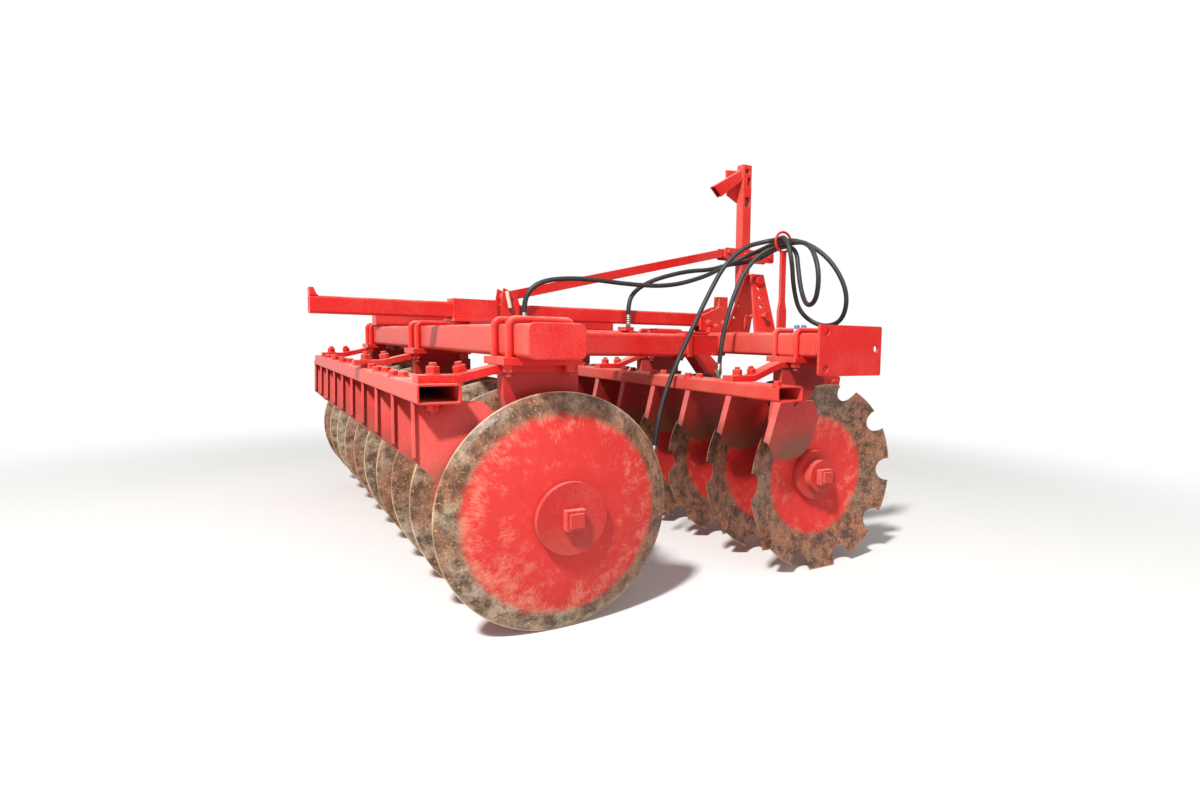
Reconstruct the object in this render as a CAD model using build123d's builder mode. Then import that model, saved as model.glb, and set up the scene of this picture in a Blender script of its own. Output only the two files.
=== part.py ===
from build123d import *
from math import cos, pi, radians, sin, sqrt, tan
import os

os.makedirs("parts", exist_ok=True)

# Mounted disc harrow, parked on its discs. +Y is the way it is towed, +X its right-hand side,
# +Z up, all in millimetres. The origin is on the floor, under the middle of the machine.

# Layout of the two gangs
DISC_R = 330
DISC_PITCH = 270
DISC_COUNT = 10
NEAR_RIM_X = 1215
REAR_AXLE_Y = -424
WHEELBASE = 990
FRONT_AXLE_Y = REAR_AXLE_Y + WHEELBASE
AXLE_Z = DISC_R

# Dished disc
DISC_THICK = 6
DISH_DEPTH = 72
DISC_FLAT_R = 60
EDGE_BEVEL = 18
EDGE_THICK = 2
NOTCH_COUNT = 10
NOTCH_R = 42
NOTCH_CENTRE_R = DISC_R - 6

# Gang bolt, spools and end pieces
BOLT_SQUARE = 38
BOLT_HOLE = 40
SPOOL_FLANGE_R = 58
SPOOL_FLANGE = 18
JOURNAL_R = 45
JOURNAL_LENGTH = 130
END_WASHER_R = 98
END_WASHER = 18
# Radius and length of each step of the hub in the hollow of the end disc
HUB_STEPS = ((SPOOL_FLANGE_R, 5), (88, 22), (56, 31))
NUT_WIDTH = 54
NUT = 26
BOLT_END = 8

# Toolbar beams and the scraper bars behind them
BEAM_WIDTH = 150
BEAM_HEIGHT = 88
BEAM_WALL = 8
BEAM_CORNER = 14
BEAM_Z = 795
BEAM_TOP = BEAM_Z + BEAM_HEIGHT / 2
BEAM_BOTTOM = BEAM_Z - BEAM_HEIGHT / 2
REAR_BEAM_Y = REAR_AXLE_Y - 50
FRONT_BEAM_Y = FRONT_AXLE_Y + 61
REAR_BEAM_NEAR_X = NEAR_RIM_X + 115
REAR_BEAM_FAR_X = NEAR_RIM_X - 2360
FRONT_BEAM_NEAR_X = NEAR_RIM_X - 47
FRONT_BEAM_FAR_X = NEAR_RIM_X - 2420
BAR_WIDTH = 104
BAR_HEIGHT = 50
BAR_WALL = 5
BAR_CORNER = 8
BAR_LENGTH = 2470

# Hangers, one over every fourth spool
HANGER_SPOOLS = (0, 4, 8)
HANGER_THICK = 50
HANGER_TOP = 210
HANGER_FOOT = 176
HANGER_HEAD = 60
HANGER_SOLE = 30
HOUSING_TOP_Z = AXLE_Z + 84
HOUSING_R = 76
HOUSING_WIDTH = 96
BEARING_PLAY = 0.1
CLAMP_THICK = 20
CLAMP_LENGTH = 170
CLAMP_WIDTH = 214
ARM_THICK = 20
ARM_WIDTH = 62
UBOLT_ROD_R = 10
UBOLT_SPREAD = 62
UBOLT_BEND = 18
UBOLT_NUT = 34
UBOLT_NUT_HEIGHT = 18
UBOLT_TAIL = 30

# Scrapers
SCRAPER_THICK = 8
SCRAPER_FOLD_X = 84
SCRAPER_TURN = 10
SCRAPER_LEAN = 0.33
SCRAPER_FLANGE = 18
SCRAPER_VEE = 26
VEE_ALONG = 78

# Lifting side: pivot at the far end, guide beam, sleeve and cylinder
PIVOT_X = NEAR_RIM_X - 2030
PIVOT_Y = REAR_BEAM_Y
GUIDE_X = NEAR_RIM_X - 800
GUIDE_WIDTH = 62
GUIDE_HEIGHT = 56
GUIDE_Z = 893
GUIDE_WALL = 6
GUIDE_REAR_Y = REAR_AXLE_Y - 513
GUIDE_FRONT_Y = FRONT_BEAM_Y + 40
STOP_LUG = 22
STOP_LUG_RISE = 26
SLEEVE_WALL = 10
SLEEVE_PLAY = 2
SLEEVE_LENGTH = 154
SLEEVE_Y = REAR_AXLE_Y - 6
SLIDE_PLATE_X = 130
STUB_R = 12
CYLINDER_Z = BEAM_Z
CYLINDER_PIN_R = 15
BARREL_R = 42
BARREL_BORE_R = 34
ROD_R = 20
ROD_PIN_Y = REAR_BEAM_Y + BEAM_WIDTH / 2 + 50
ANCHOR_Y = REAR_AXLE_Y + 735
BARREL_REAR_Y = REAR_AXLE_Y + 140
BARREL_FRONT_Y = REAR_AXLE_Y + 665

RIM_XS = [NEAR_RIM_X - DISC_PITCH * i for i in range(DISC_COUNT)]

# Each gang: hollow side of its discs (+1 faces +X), axle, beam, hanger's shift from the beam,
# then the scraper bar's place, height and near end, and whether its blades have a vee in the top
GANGS = {
    "front": {"hollow": 1, "axle_y": FRONT_AXLE_Y, "beam_y": FRONT_BEAM_Y, "hanger_shift": -15,
              "bar_y": FRONT_AXLE_Y - 243, "bar_z": 638, "bar_near_x": NEAR_RIM_X + 85, "vee": True},
    "rear": {"hollow": -1, "axle_y": REAR_AXLE_Y, "beam_y": REAR_BEAM_Y, "hanger_shift": 15,
             "bar_y": REAR_AXLE_Y - 308, "bar_z": 660, "bar_near_x": NEAR_RIM_X + 10, "vee": False},
}


def save(piece, name):
    """Label a finished piece and write it to its own STEP file."""
    piece.part.label = name
    export_step(piece.part, f"parts/{name}.step")


# The hollow face is a sphere through the flat's edge and the rim; the back is 6 mm outside it.
DISH_CENTRE = (DISC_R**2 - DISC_FLAT_R**2 - DISH_DEPTH**2) / (2 * DISH_DEPTH)
HOLLOW_SPHERE = sqrt(DISH_CENTRE**2 + DISC_R**2)
BACK_SPHERE = HOLLOW_SPHERE + DISC_THICK


def dish_x(radius, sphere):
    """Axial place of a face of the disc at a radius, with the rim's hollow edge at zero."""
    return DISH_CENTRE - sqrt(sphere**2 - radius**2)


def make_disc(notches):
    """One dished disc about the X axis, hollow towards +X, its edge bevelled from the back."""
    back_flat = -DISH_DEPTH - DISC_THICK
    back_flat_r = sqrt(BACK_SPHERE**2 - (DISH_CENTRE - back_flat)**2)
    bevel_r = DISC_R - EDGE_BEVEL
    middle_r = (DISC_FLAT_R + DISC_R) / 2
    with BuildPart() as disc:
        with BuildSketch(Plane.XY):
            with BuildLine():
                Line((back_flat, 0), (back_flat, back_flat_r))
                ThreePointArc((back_flat, back_flat_r), (dish_x(middle_r, BACK_SPHERE), middle_r),
                              (dish_x(bevel_r, BACK_SPHERE), bevel_r))
                Line((dish_x(bevel_r, BACK_SPHERE), bevel_r), (-EDGE_THICK, DISC_R))
                Line((-EDGE_THICK, DISC_R), (0, DISC_R))
                ThreePointArc((0, DISC_R), (dish_x(middle_r, HOLLOW_SPHERE), middle_r),
                              (-DISH_DEPTH, DISC_FLAT_R))
                Line((-DISH_DEPTH, DISC_FLAT_R), (-DISH_DEPTH, 0))
                Line((-DISH_DEPTH, 0), (back_flat, 0))
            make_face()
        revolve(axis=Axis.X)
        with BuildSketch(Plane.YZ):
            Rectangle(BOLT_HOLE, BOLT_HOLE)
        extrude(amount=2 * DISH_DEPTH, both=True, mode=Mode.SUBTRACT)
        if notches:
            with BuildSketch(Plane.YZ):
                with PolarLocations(NOTCH_CENTRE_R, notches):
                    Circle(NOTCH_R)
            extrude(amount=2 * DISH_DEPTH, both=True, mode=Mode.SUBTRACT)
    return disc.part


def make_spool():
    """One cast spool about the X axis, centred, waisted to the bearing journal."""
    half = (DISC_PITCH - DISC_THICK) / 2
    with BuildPart() as spool:
        with BuildSketch(Plane.XY):
            with BuildLine():
                Polyline((-half, 0), (-half, SPOOL_FLANGE_R), (SPOOL_FLANGE - half, SPOOL_FLANGE_R),
                         (-JOURNAL_LENGTH / 2, JOURNAL_R), (JOURNAL_LENGTH / 2, JOURNAL_R),
                         (half - SPOOL_FLANGE, SPOOL_FLANGE_R), (half, SPOOL_FLANGE_R), (half, 0),
                         close=True)
            make_face()
        revolve(axis=Axis.X)
        with BuildSketch(Plane.YZ):
            Rectangle(BOLT_HOLE, BOLT_HOLE)
        extrude(amount=2 * half, both=True, mode=Mode.SUBTRACT)
    return spool.part


SPOOL = make_spool()
DISCS = {"front": make_disc(NOTCH_COUNT), "rear": make_disc(0)}

# Rotating gangs: discs, spools, end pieces and the square bolt that clamps them
for gang, row in GANGS.items():
    hollow, axle_y = row["hollow"], row["axle_y"]
    turn = 0 if hollow > 0 else 180
    # Axial middle of each disc's flat, and the outer faces of the clamped stack
    flats = [rim - hollow * (DISH_DEPTH + DISC_THICK / 2) for rim in RIM_XS]
    near_face = flats[0] + DISC_THICK / 2
    far_face = flats[-1] - DISC_THICK / 2

    with BuildPart() as discs:
        with Locations(*[Location((rim, axle_y, AXLE_Z), (0, 0, turn)) for rim in RIM_XS]):
            add(DISCS[gang])
    save(discs, f"{gang}_discs")

    with BuildPart() as spools:
        with Locations(*[(flat - DISC_PITCH / 2, axle_y, AXLE_Z) for flat in flats[:-1]]):
            add(SPOOL)
    save(spools, f"{gang}_spools")

    # The stepped hub stands in the hollow of the end disc, the wide washer on the back of the other
    hollow_face = near_face if hollow > 0 else far_face
    back_face = far_face if hollow > 0 else near_face
    with BuildPart() as end_hubs:
        start_x = hollow_face
        for step_r, step_length in HUB_STEPS:
            with BuildSketch(Plane((start_x, axle_y, AXLE_Z), x_dir=(0, 1, 0), z_dir=(hollow, 0, 0))):
                Circle(step_r)
                Rectangle(BOLT_HOLE, BOLT_HOLE, mode=Mode.SUBTRACT)
            extrude(amount=step_length)
            start_x += hollow * step_length
        with BuildSketch(Plane((back_face, axle_y, AXLE_Z), x_dir=(0, 1, 0), z_dir=(-hollow, 0, 0))):
            Circle(END_WASHER_R)
            Rectangle(BOLT_HOLE, BOLT_HOLE, mode=Mode.SUBTRACT)
        extrude(amount=END_WASHER)
    save(end_hubs, f"{gang}_end_hubs")

    hollow_end = hollow_face + hollow * sum(length for _, length in HUB_STEPS)
    back_end = back_face - hollow * END_WASHER
    with BuildPart() as gang_bolt:
        with BuildSketch(Plane((hollow_end + hollow * (NUT + BOLT_END), axle_y, AXLE_Z), x_dir=(0, 1, 0),
                               z_dir=(-hollow, 0, 0))):
            Rectangle(BOLT_SQUARE, BOLT_SQUARE)
        extrude(amount=abs(hollow_end - back_end) + 2 * (NUT + BOLT_END))
        for end, way in ((hollow_end, hollow), (back_end, -hollow)):
            with BuildSketch(Plane((end, axle_y, AXLE_Z), x_dir=(0, 1, 0), z_dir=(way, 0, 0))):
                Rectangle(NUT_WIDTH, NUT_WIDTH)
            extrude(amount=NUT)
    save(gang_bolt, f"{gang}_gang_bolt")

    # Bearing housings under the hangers
    hanger_xs = [flats[spool] - DISC_PITCH / 2 for spool in HANGER_SPOOLS]
    with BuildPart() as housings:
        for hanger_x in hanger_xs:
            with BuildSketch(Plane((hanger_x - HOUSING_WIDTH / 2, axle_y, AXLE_Z), x_dir=(0, 1, 0),
                                   z_dir=(1, 0, 0))):
                Circle(HOUSING_R)
                with Locations((0, (HOUSING_TOP_Z - AXLE_Z) / 2 + 20)):
                    Rectangle(HANGER_FOOT, HOUSING_TOP_Z - AXLE_Z - 40)
                Circle(JOURNAL_R + BEARING_PLAY, mode=Mode.SUBTRACT)
            extrude(amount=HOUSING_WIDTH)
    save(housings, f"{gang}_bearing_housings")

    # Hangers: cast legs from the clamp down to the housings
    beam_y = row["beam_y"]
    arm_z = BEAM_BOTTOM - CLAMP_THICK
    hanger_top_z = arm_z - ARM_THICK
    top_y = beam_y + row["hanger_shift"]
    with BuildPart() as hangers:
        for hanger_x in hanger_xs:
            with BuildSketch(Plane((hanger_x - HANGER_THICK / 2, 0, 0), x_dir=(0, 1, 0), z_dir=(1, 0, 0))):
                with BuildLine():
                    Polyline((top_y - HANGER_TOP / 2, hanger_top_z), (top_y + HANGER_TOP / 2, hanger_top_z),
                             (top_y + HANGER_TOP / 2, hanger_top_z - HANGER_HEAD),
                             (axle_y + HANGER_FOOT / 2, HOUSING_TOP_Z + HANGER_SOLE),
                             (axle_y + HANGER_FOOT / 2, HOUSING_TOP_Z),
                             (axle_y - HANGER_FOOT / 2, HOUSING_TOP_Z),
                             (axle_y - HANGER_FOOT / 2, HOUSING_TOP_Z + HANGER_SOLE),
                             (top_y - HANGER_TOP / 2, hanger_top_z - HANGER_HEAD), close=True)
                make_face()
            extrude(amount=HANGER_THICK)
    save(hangers, f"{gang}_hangers")

    with BuildPart() as clamps:
        with BuildSketch(Plane.XY.offset(arm_z)):
            with Locations(*[(hanger_x, beam_y) for hanger_x in hanger_xs]):
                Rectangle(CLAMP_LENGTH, CLAMP_WIDTH)
            leg_y = BEAM_WIDTH / 2 + UBOLT_ROD_R
            for hanger_x in hanger_xs:
                with Locations(*[(hanger_x + sx * UBOLT_SPREAD, beam_y + sy * leg_y)
                                 for sx in (-1, 1) for sy in (-1, 1)]):
                    Circle(UBOLT_ROD_R, mode=Mode.SUBTRACT)
        extrude(amount=CLAMP_THICK)
    save(clamps, f"{gang}_clamp_plates")

    with BuildPart() as u_bolts:
        for hanger_x in hanger_xs:
            for side in (-1, 1):
                rod_x = hanger_x + side * UBOLT_SPREAD
                rod_top = BEAM_TOP + UBOLT_ROD_R
                rod_foot = arm_z - UBOLT_TAIL
                with BuildLine() as path:
                    FilletPolyline((rod_x, beam_y - leg_y, rod_foot), (rod_x, beam_y - leg_y, rod_top),
                                   (rod_x, beam_y + leg_y, rod_top), (rod_x, beam_y + leg_y, rod_foot),
                                   radius=UBOLT_BEND)
                with BuildSketch(Plane((rod_x, beam_y - leg_y, rod_foot), z_dir=(0, 0, 1))):
                    Circle(UBOLT_ROD_R)
                sweep(path=path.line)
                with BuildSketch(Plane.XY.offset(arm_z - UBOLT_NUT_HEIGHT)):
                    with Locations((rod_x, beam_y - leg_y), (rod_x, beam_y + leg_y)):
                        RegularPolygon(UBOLT_NUT / 2, 6)
                extrude(amount=UBOLT_NUT_HEIGHT)
    save(u_bolts, f"{gang}_u_bolts")

    # Scraper arms: flat bars from under the clamp back and down onto the scraper bar
    bar_y, bar_z = row["bar_y"], row["bar_z"]
    bar_top = bar_z + BAR_HEIGHT / 2
    bend_y = top_y - HANGER_TOP / 2 - 3
    arm_front_y = beam_y + CLAMP_WIDTH / 2 - 12
    arm_rear_y = bar_y - BAR_WIDTH / 2 + 10
    with BuildPart() as arms:
        for hanger_x in hanger_xs:
            with BuildSketch(Plane((hanger_x - ARM_WIDTH / 2, 0, 0), x_dir=(0, 1, 0), z_dir=(1, 0, 0))):
                with BuildLine():
                    Polyline((arm_front_y, arm_z), (bend_y - 8, arm_z),
                             (bar_y + BAR_WIDTH / 2, bar_top + ARM_THICK),
                             (arm_rear_y, bar_top + ARM_THICK), (arm_rear_y, bar_top),
                             (bar_y + BAR_WIDTH / 2 + 8, bar_top),
                             (bend_y, hanger_top_z), (arm_front_y, hanger_top_z), close=True)
                make_face()
            extrude(amount=ARM_WIDTH)
    save(arms, f"{gang}_scraper_arms")

    with BuildPart() as bar:
        with BuildSketch(Plane((row["bar_near_x"], bar_y, bar_z), x_dir=(0, 1, 0), z_dir=(-1, 0, 0))):
            RectangleRounded(BAR_WIDTH, BAR_HEIGHT, BAR_CORNER)
            RectangleRounded(BAR_WIDTH - 2 * BAR_WALL, BAR_HEIGHT - 2 * BAR_WALL, BAR_CORNER - BAR_WALL,
                             mode=Mode.SUBTRACT)
        extrude(amount=BAR_LENGTH)
    save(bar, f"{gang}_scraper_bar")

    # Scrapers: leaning blades that reach into each dish, with a folded rear edge
    bar_bottom = bar_z - BAR_HEIGHT / 2
    turn_x, turn_y = -hollow * sin(radians(SCRAPER_TURN)), cos(radians(SCRAPER_TURN))
    with BuildPart() as scrapers:
        for rim in RIM_XS:
            fold = (rim + hollow * SCRAPER_FOLD_X, bar_y - BAR_WIDTH / 2 + 4, bar_bottom)
            along = Vector(turn_x, turn_y, 0)
            up = Vector(hollow * SCRAPER_LEAN, 0, 1)
            blade_plane = Plane(fold, x_dir=along, z_dir=along.cross(up))
            blade_way = SCRAPER_THICK if hollow > 0 else -SCRAPER_THICK
            with BuildSketch(blade_plane):
                with BuildLine():
                    Polyline((0, 20), (0, -145), (48, -195), (118, -217), (196, -205), (226, -160),
                             (226, -60), (150, 20), close=True)
                make_face()
                if row["vee"]:
                    with Locations((VEE_ALONG, 0)):
                        Rectangle(SCRAPER_VEE, SCRAPER_VEE, rotation=45, mode=Mode.SUBTRACT)
            extrude(amount=blade_way)
            with BuildSketch(blade_plane):
                with BuildLine():
                    Polyline((0, 20), (SCRAPER_THICK, 20), (SCRAPER_THICK, -145), (0, -145), close=True)
                make_face()
            extrude(amount=-(SCRAPER_FLANGE if hollow > 0 else -SCRAPER_FLANGE))
        split(bisect_by=Plane.XY.offset(bar_bottom), keep=Keep.BOTTOM)
    save(scrapers, f"{gang}_scrapers")

# Front toolbar beam, its end flange and the right-hand rail behind it
def beam_section(width, height, wall, corner):
    """Rounded rectangular tube section in the open sketch."""
    RectangleRounded(width, height, corner)
    RectangleRounded(width - 2 * wall, height - 2 * wall, corner - wall, mode=Mode.SUBTRACT)


END_PLATE = 12
CAP_THICK = 8
FLANGE_DEPTH = 315
FLANGE_HEIGHT = 184
FLANGE_Z = 778
FLANGE_HOLE_R = 13

with BuildPart() as front_beam:
    with BuildSketch(Plane((FRONT_BEAM_FAR_X, FRONT_BEAM_Y, BEAM_Z), x_dir=(0, 1, 0), z_dir=(1, 0, 0))):
        beam_section(BEAM_WIDTH, BEAM_HEIGHT, BEAM_WALL, BEAM_CORNER)
    extrude(amount=FRONT_BEAM_NEAR_X - FRONT_BEAM_FAR_X)
save(front_beam, "front_beam")

with BuildPart() as front_beam_cap:
    with BuildSketch(Plane((FRONT_BEAM_FAR_X, FRONT_BEAM_Y, BEAM_Z), x_dir=(0, 1, 0), z_dir=(-1, 0, 0))):
        RectangleRounded(BEAM_WIDTH, BEAM_HEIGHT, BEAM_CORNER)
    extrude(amount=CAP_THICK)
save(front_beam_cap, "front_beam_cap")

flange_y = FRONT_BEAM_Y - BEAM_WIDTH / 2 + FLANGE_DEPTH / 2
# Holes of the end flange: rearward place, height, each from the plate's rear edge and middle
FLANGE_HOLES = ((35, 64), (33, -66), (287, 8))
with BuildPart() as end_flange:
    with BuildSketch(Plane((FRONT_BEAM_NEAR_X, flange_y, FLANGE_Z), x_dir=(0, 1, 0), z_dir=(1, 0, 0))):
        RectangleRounded(FLANGE_DEPTH, FLANGE_HEIGHT, 8)
        with Locations(*[(along - FLANGE_DEPTH / 2, rise) for along, rise in FLANGE_HOLES]):
            Circle(FLANGE_HOLE_R, mode=Mode.SUBTRACT)
    extrude(amount=END_PLATE)
save(end_flange, "end_flange")

RAIL_X = NEAR_RIM_X - 700
RAIL_WIDTH = 80
RAIL_HEIGHT = 92
RAIL_Z = 783
RAIL_REAR_Y = REAR_BEAM_Y + BEAM_WIDTH / 2 + 8
RAIL_FRONT_Y = FRONT_BEAM_Y - 231
RAIL_PLATE = 10
# Bracket that carries the rail on the front beam's rear face
RAIL_BRACKET_WIDTH = 66
RAIL_BRACKET_HEIGHT = 80
RAIL_FOOT_LENGTH = 60
with BuildPart() as right_rail:
    with BuildSketch(Plane((RAIL_X, RAIL_REAR_Y, RAIL_Z), x_dir=(-1, 0, 0), z_dir=(0, 1, 0))):
        beam_section(RAIL_WIDTH, RAIL_HEIGHT, BEAM_WALL, BEAM_CORNER)
    extrude(amount=RAIL_FRONT_Y - RAIL_REAR_Y)
    with BuildSketch(Plane((RAIL_X, RAIL_FRONT_Y, RAIL_Z), x_dir=(-1, 0, 0), z_dir=(0, 1, 0))):
        Rectangle(RAIL_WIDTH + 8, RAIL_HEIGHT + 4)
    extrude(amount=RAIL_PLATE)
save(right_rail, "right_rail")

rail_bracket_y = RAIL_FRONT_Y + RAIL_PLATE
with BuildPart() as rail_bracket:
    with BuildSketch(Plane((RAIL_X, rail_bracket_y, RAIL_Z), x_dir=(-1, 0, 0), z_dir=(0, 1, 0))):
        Rectangle(RAIL_WIDTH + 8, RAIL_HEIGHT + 4)
    extrude(amount=RAIL_PLATE)
    with BuildSketch(Plane((RAIL_X, rail_bracket_y, RAIL_Z), x_dir=(-1, 0, 0), z_dir=(0, 1, 0))):
        Rectangle(RAIL_BRACKET_WIDTH, RAIL_BRACKET_HEIGHT)
    extrude(amount=FRONT_BEAM_Y - BEAM_WIDTH / 2 - rail_bracket_y)
    # Foot under the beam's rear edge
    with BuildSketch(Plane.XY.offset(BEAM_BOTTOM - RAIL_PLATE)):
        with Locations((RAIL_X, FRONT_BEAM_Y - BEAM_WIDTH / 2)):
            Rectangle(RAIL_BRACKET_WIDTH + 20, RAIL_FOOT_LENGTH)
    extrude(amount=RAIL_PLATE)
save(rail_bracket, "rail_bracket")

# Left rail: lies on the front beam and over the rear beam, and carries the pivot pin
PIVOT_R = 25
PIVOT_PLAY = 0.1
LEFT_RAIL_WIDTH = 110
LEFT_RAIL_HEIGHT = 62
PIVOT_WASHER = 6
PIVOT_WASHER_R = 50
PIVOT_HEAD_R = 38
PIVOT_HEAD = 14
PIVOT_COLLAR = 16
PIVOT_TAIL = 24
LEFT_RAIL_Z = BEAM_TOP + PIVOT_WASHER + 0.5 + LEFT_RAIL_HEIGHT / 2
LEFT_RAIL_REAR_Y = PIVOT_Y - 90
LEFT_RAIL_FRONT_Y = FRONT_BEAM_Y + 70
LEFT_RAIL_FOOT = BEAM_TOP + PIVOT_WASHER + 0.5
with BuildPart() as left_rail:
    with BuildSketch(Plane((PIVOT_X, LEFT_RAIL_REAR_Y, LEFT_RAIL_Z), x_dir=(-1, 0, 0), z_dir=(0, 1, 0))):
        beam_section(LEFT_RAIL_WIDTH, LEFT_RAIL_HEIGHT, BEAM_WALL, BEAM_CORNER)
    extrude(amount=LEFT_RAIL_FRONT_Y - LEFT_RAIL_REAR_Y)
    # Packer that seats the rail on the front beam
    with BuildSketch(Plane.XY.offset(BEAM_TOP)):
        with Locations((PIVOT_X, FRONT_BEAM_Y)):
            Rectangle(LEFT_RAIL_WIDTH, 120)
    extrude(amount=LEFT_RAIL_FOOT - BEAM_TOP)
    with BuildSketch(Plane.XY.offset(BEAM_TOP - 10)):
        with Locations((PIVOT_X, PIVOT_Y)):
            Circle(PIVOT_R)
    extrude(amount=LEFT_RAIL_HEIGHT + 100, mode=Mode.SUBTRACT)
save(left_rail, "left_rail")

with BuildPart() as pivot_pin:
    with BuildSketch(Plane.XY.offset(BEAM_BOTTOM - PIVOT_TAIL)):
        with Locations((PIVOT_X, PIVOT_Y)):
            Circle(PIVOT_R)
    extrude(amount=LEFT_RAIL_FOOT + LEFT_RAIL_HEIGHT - BEAM_BOTTOM + PIVOT_TAIL)
    # Head on the rail and collar under the beam
    with BuildSketch(Plane.XY.offset(LEFT_RAIL_FOOT + LEFT_RAIL_HEIGHT)):
        with Locations((PIVOT_X, PIVOT_Y)):
            Circle(PIVOT_HEAD_R)
    extrude(amount=PIVOT_HEAD)
    with BuildSketch(Plane.XY.offset(BEAM_BOTTOM - 1 - PIVOT_COLLAR)):
        with Locations((PIVOT_X, PIVOT_Y)):
            Circle(PIVOT_HEAD_R)
    extrude(amount=PIVOT_COLLAR)
save(pivot_pin, "pivot_pin")

# Rear toolbar beam, bored for the pivot pin
with BuildPart() as rear_beam:
    with BuildSketch(Plane((REAR_BEAM_FAR_X, REAR_BEAM_Y, BEAM_Z), x_dir=(0, 1, 0), z_dir=(1, 0, 0))):
        beam_section(BEAM_WIDTH, BEAM_HEIGHT, BEAM_WALL, BEAM_CORNER)
    extrude(amount=REAR_BEAM_NEAR_X - REAR_BEAM_FAR_X)
    with BuildSketch(Plane.XY.offset(BEAM_BOTTOM - 10)):
        with Locations((PIVOT_X, PIVOT_Y)):
            Circle(PIVOT_R + PIVOT_PLAY)
    extrude(amount=BEAM_HEIGHT + 20, mode=Mode.SUBTRACT)
save(rear_beam, "rear_beam")

with BuildPart() as rear_beam_caps:
    for cap_x, way in ((REAR_BEAM_NEAR_X, 1), (REAR_BEAM_FAR_X, -1)):
        with BuildSketch(Plane((cap_x, REAR_BEAM_Y, BEAM_Z), x_dir=(0, 1, 0), z_dir=(way, 0, 0))):
            RectangleRounded(BEAM_WIDTH, BEAM_HEIGHT, BEAM_CORNER)
        extrude(amount=CAP_THICK)
save(rear_beam_caps, "rear_beam_caps")

# Washer between the rear beam and the left rail
with BuildPart() as pivot_washer:
    with BuildSketch(Plane.XY.offset(BEAM_TOP)):
        with Locations((PIVOT_X, PIVOT_Y)):
            Circle(PIVOT_WASHER_R)
            Circle(PIVOT_R + PIVOT_PLAY, mode=Mode.SUBTRACT)
    extrude(amount=PIVOT_WASHER)
save(pivot_washer, "pivot_washer")

# Guide beam with its upturned stop lug, and the bracket that seats it on the front beam
guide_bottom = GUIDE_Z - GUIDE_HEIGHT / 2
guide_top = GUIDE_Z + GUIDE_HEIGHT / 2
with BuildPart() as guide_beam:
    with BuildSketch(Plane((GUIDE_X, GUIDE_REAR_Y, GUIDE_Z), x_dir=(-1, 0, 0), z_dir=(0, 1, 0))):
        beam_section(GUIDE_WIDTH, GUIDE_HEIGHT, GUIDE_WALL, 8)
    extrude(amount=GUIDE_FRONT_Y - GUIDE_REAR_Y)
    with BuildSketch(Plane.YZ.offset(GUIDE_X - GUIDE_WIDTH / 2)):
        with BuildLine():
            Polyline((GUIDE_REAR_Y, guide_top), (GUIDE_REAR_Y, guide_top + STOP_LUG_RISE),
                     (GUIDE_REAR_Y + STOP_LUG / 2, guide_top + STOP_LUG_RISE),
                     (GUIDE_REAR_Y + STOP_LUG, guide_top), close=True)
        make_face()
    extrude(amount=GUIDE_WIDTH)
save(guide_beam, "guide_beam")

SADDLE_WIDTH = 116
SADDLE_LENGTH = 120
SADDLE_PLATE = 10
STRAP_RISE = 114
STRAP_LENGTH = 56
SADDLE_BLOCK = 44
# Side plate of the saddle: place along Y from the beam's middle, height over the beam's top
SADDLE_OUTLINE = ((-75, 0), (-75, 6), (-107, 9), (-107, 70), (-3, STRAP_RISE), (50, STRAP_RISE), (50, 0))
with BuildPart() as guide_saddle:
    with BuildSketch(Plane.XY.offset(BEAM_TOP)):
        with Locations((GUIDE_X, FRONT_BEAM_Y - 10)):
            Rectangle(SADDLE_WIDTH, SADDLE_LENGTH)
    extrude(amount=guide_bottom - BEAM_TOP)
    for side in (-1, 1):
        plate_x = GUIDE_X + side * (GUIDE_WIDTH + SADDLE_PLATE) / 2 - SADDLE_PLATE / 2
        outline = [(FRONT_BEAM_Y + along, BEAM_TOP + rise) for along, rise in SADDLE_OUTLINE]
        with BuildSketch(Plane.YZ.offset(plate_x)):
            with BuildLine():
                Polyline(*outline, close=True)
            make_face()
        extrude(amount=SADDLE_PLATE)
    # Strap over the guide beam and the small block on it
    with BuildSketch(Plane.XY.offset(guide_top)):
        with Locations((GUIDE_X, FRONT_BEAM_Y + 20)):
            Rectangle(GUIDE_WIDTH, STRAP_LENGTH)
    extrude(amount=BEAM_TOP + STRAP_RISE - guide_top)
    with BuildSketch(Plane.XY.offset(BEAM_TOP + STRAP_RISE)):
        with Locations((GUIDE_X + 14, FRONT_BEAM_Y + 16)):
            Rectangle(SADDLE_BLOCK, SADDLE_BLOCK)
    extrude(amount=SADDLE_BLOCK)
save(guide_saddle, "guide_saddle")

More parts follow.
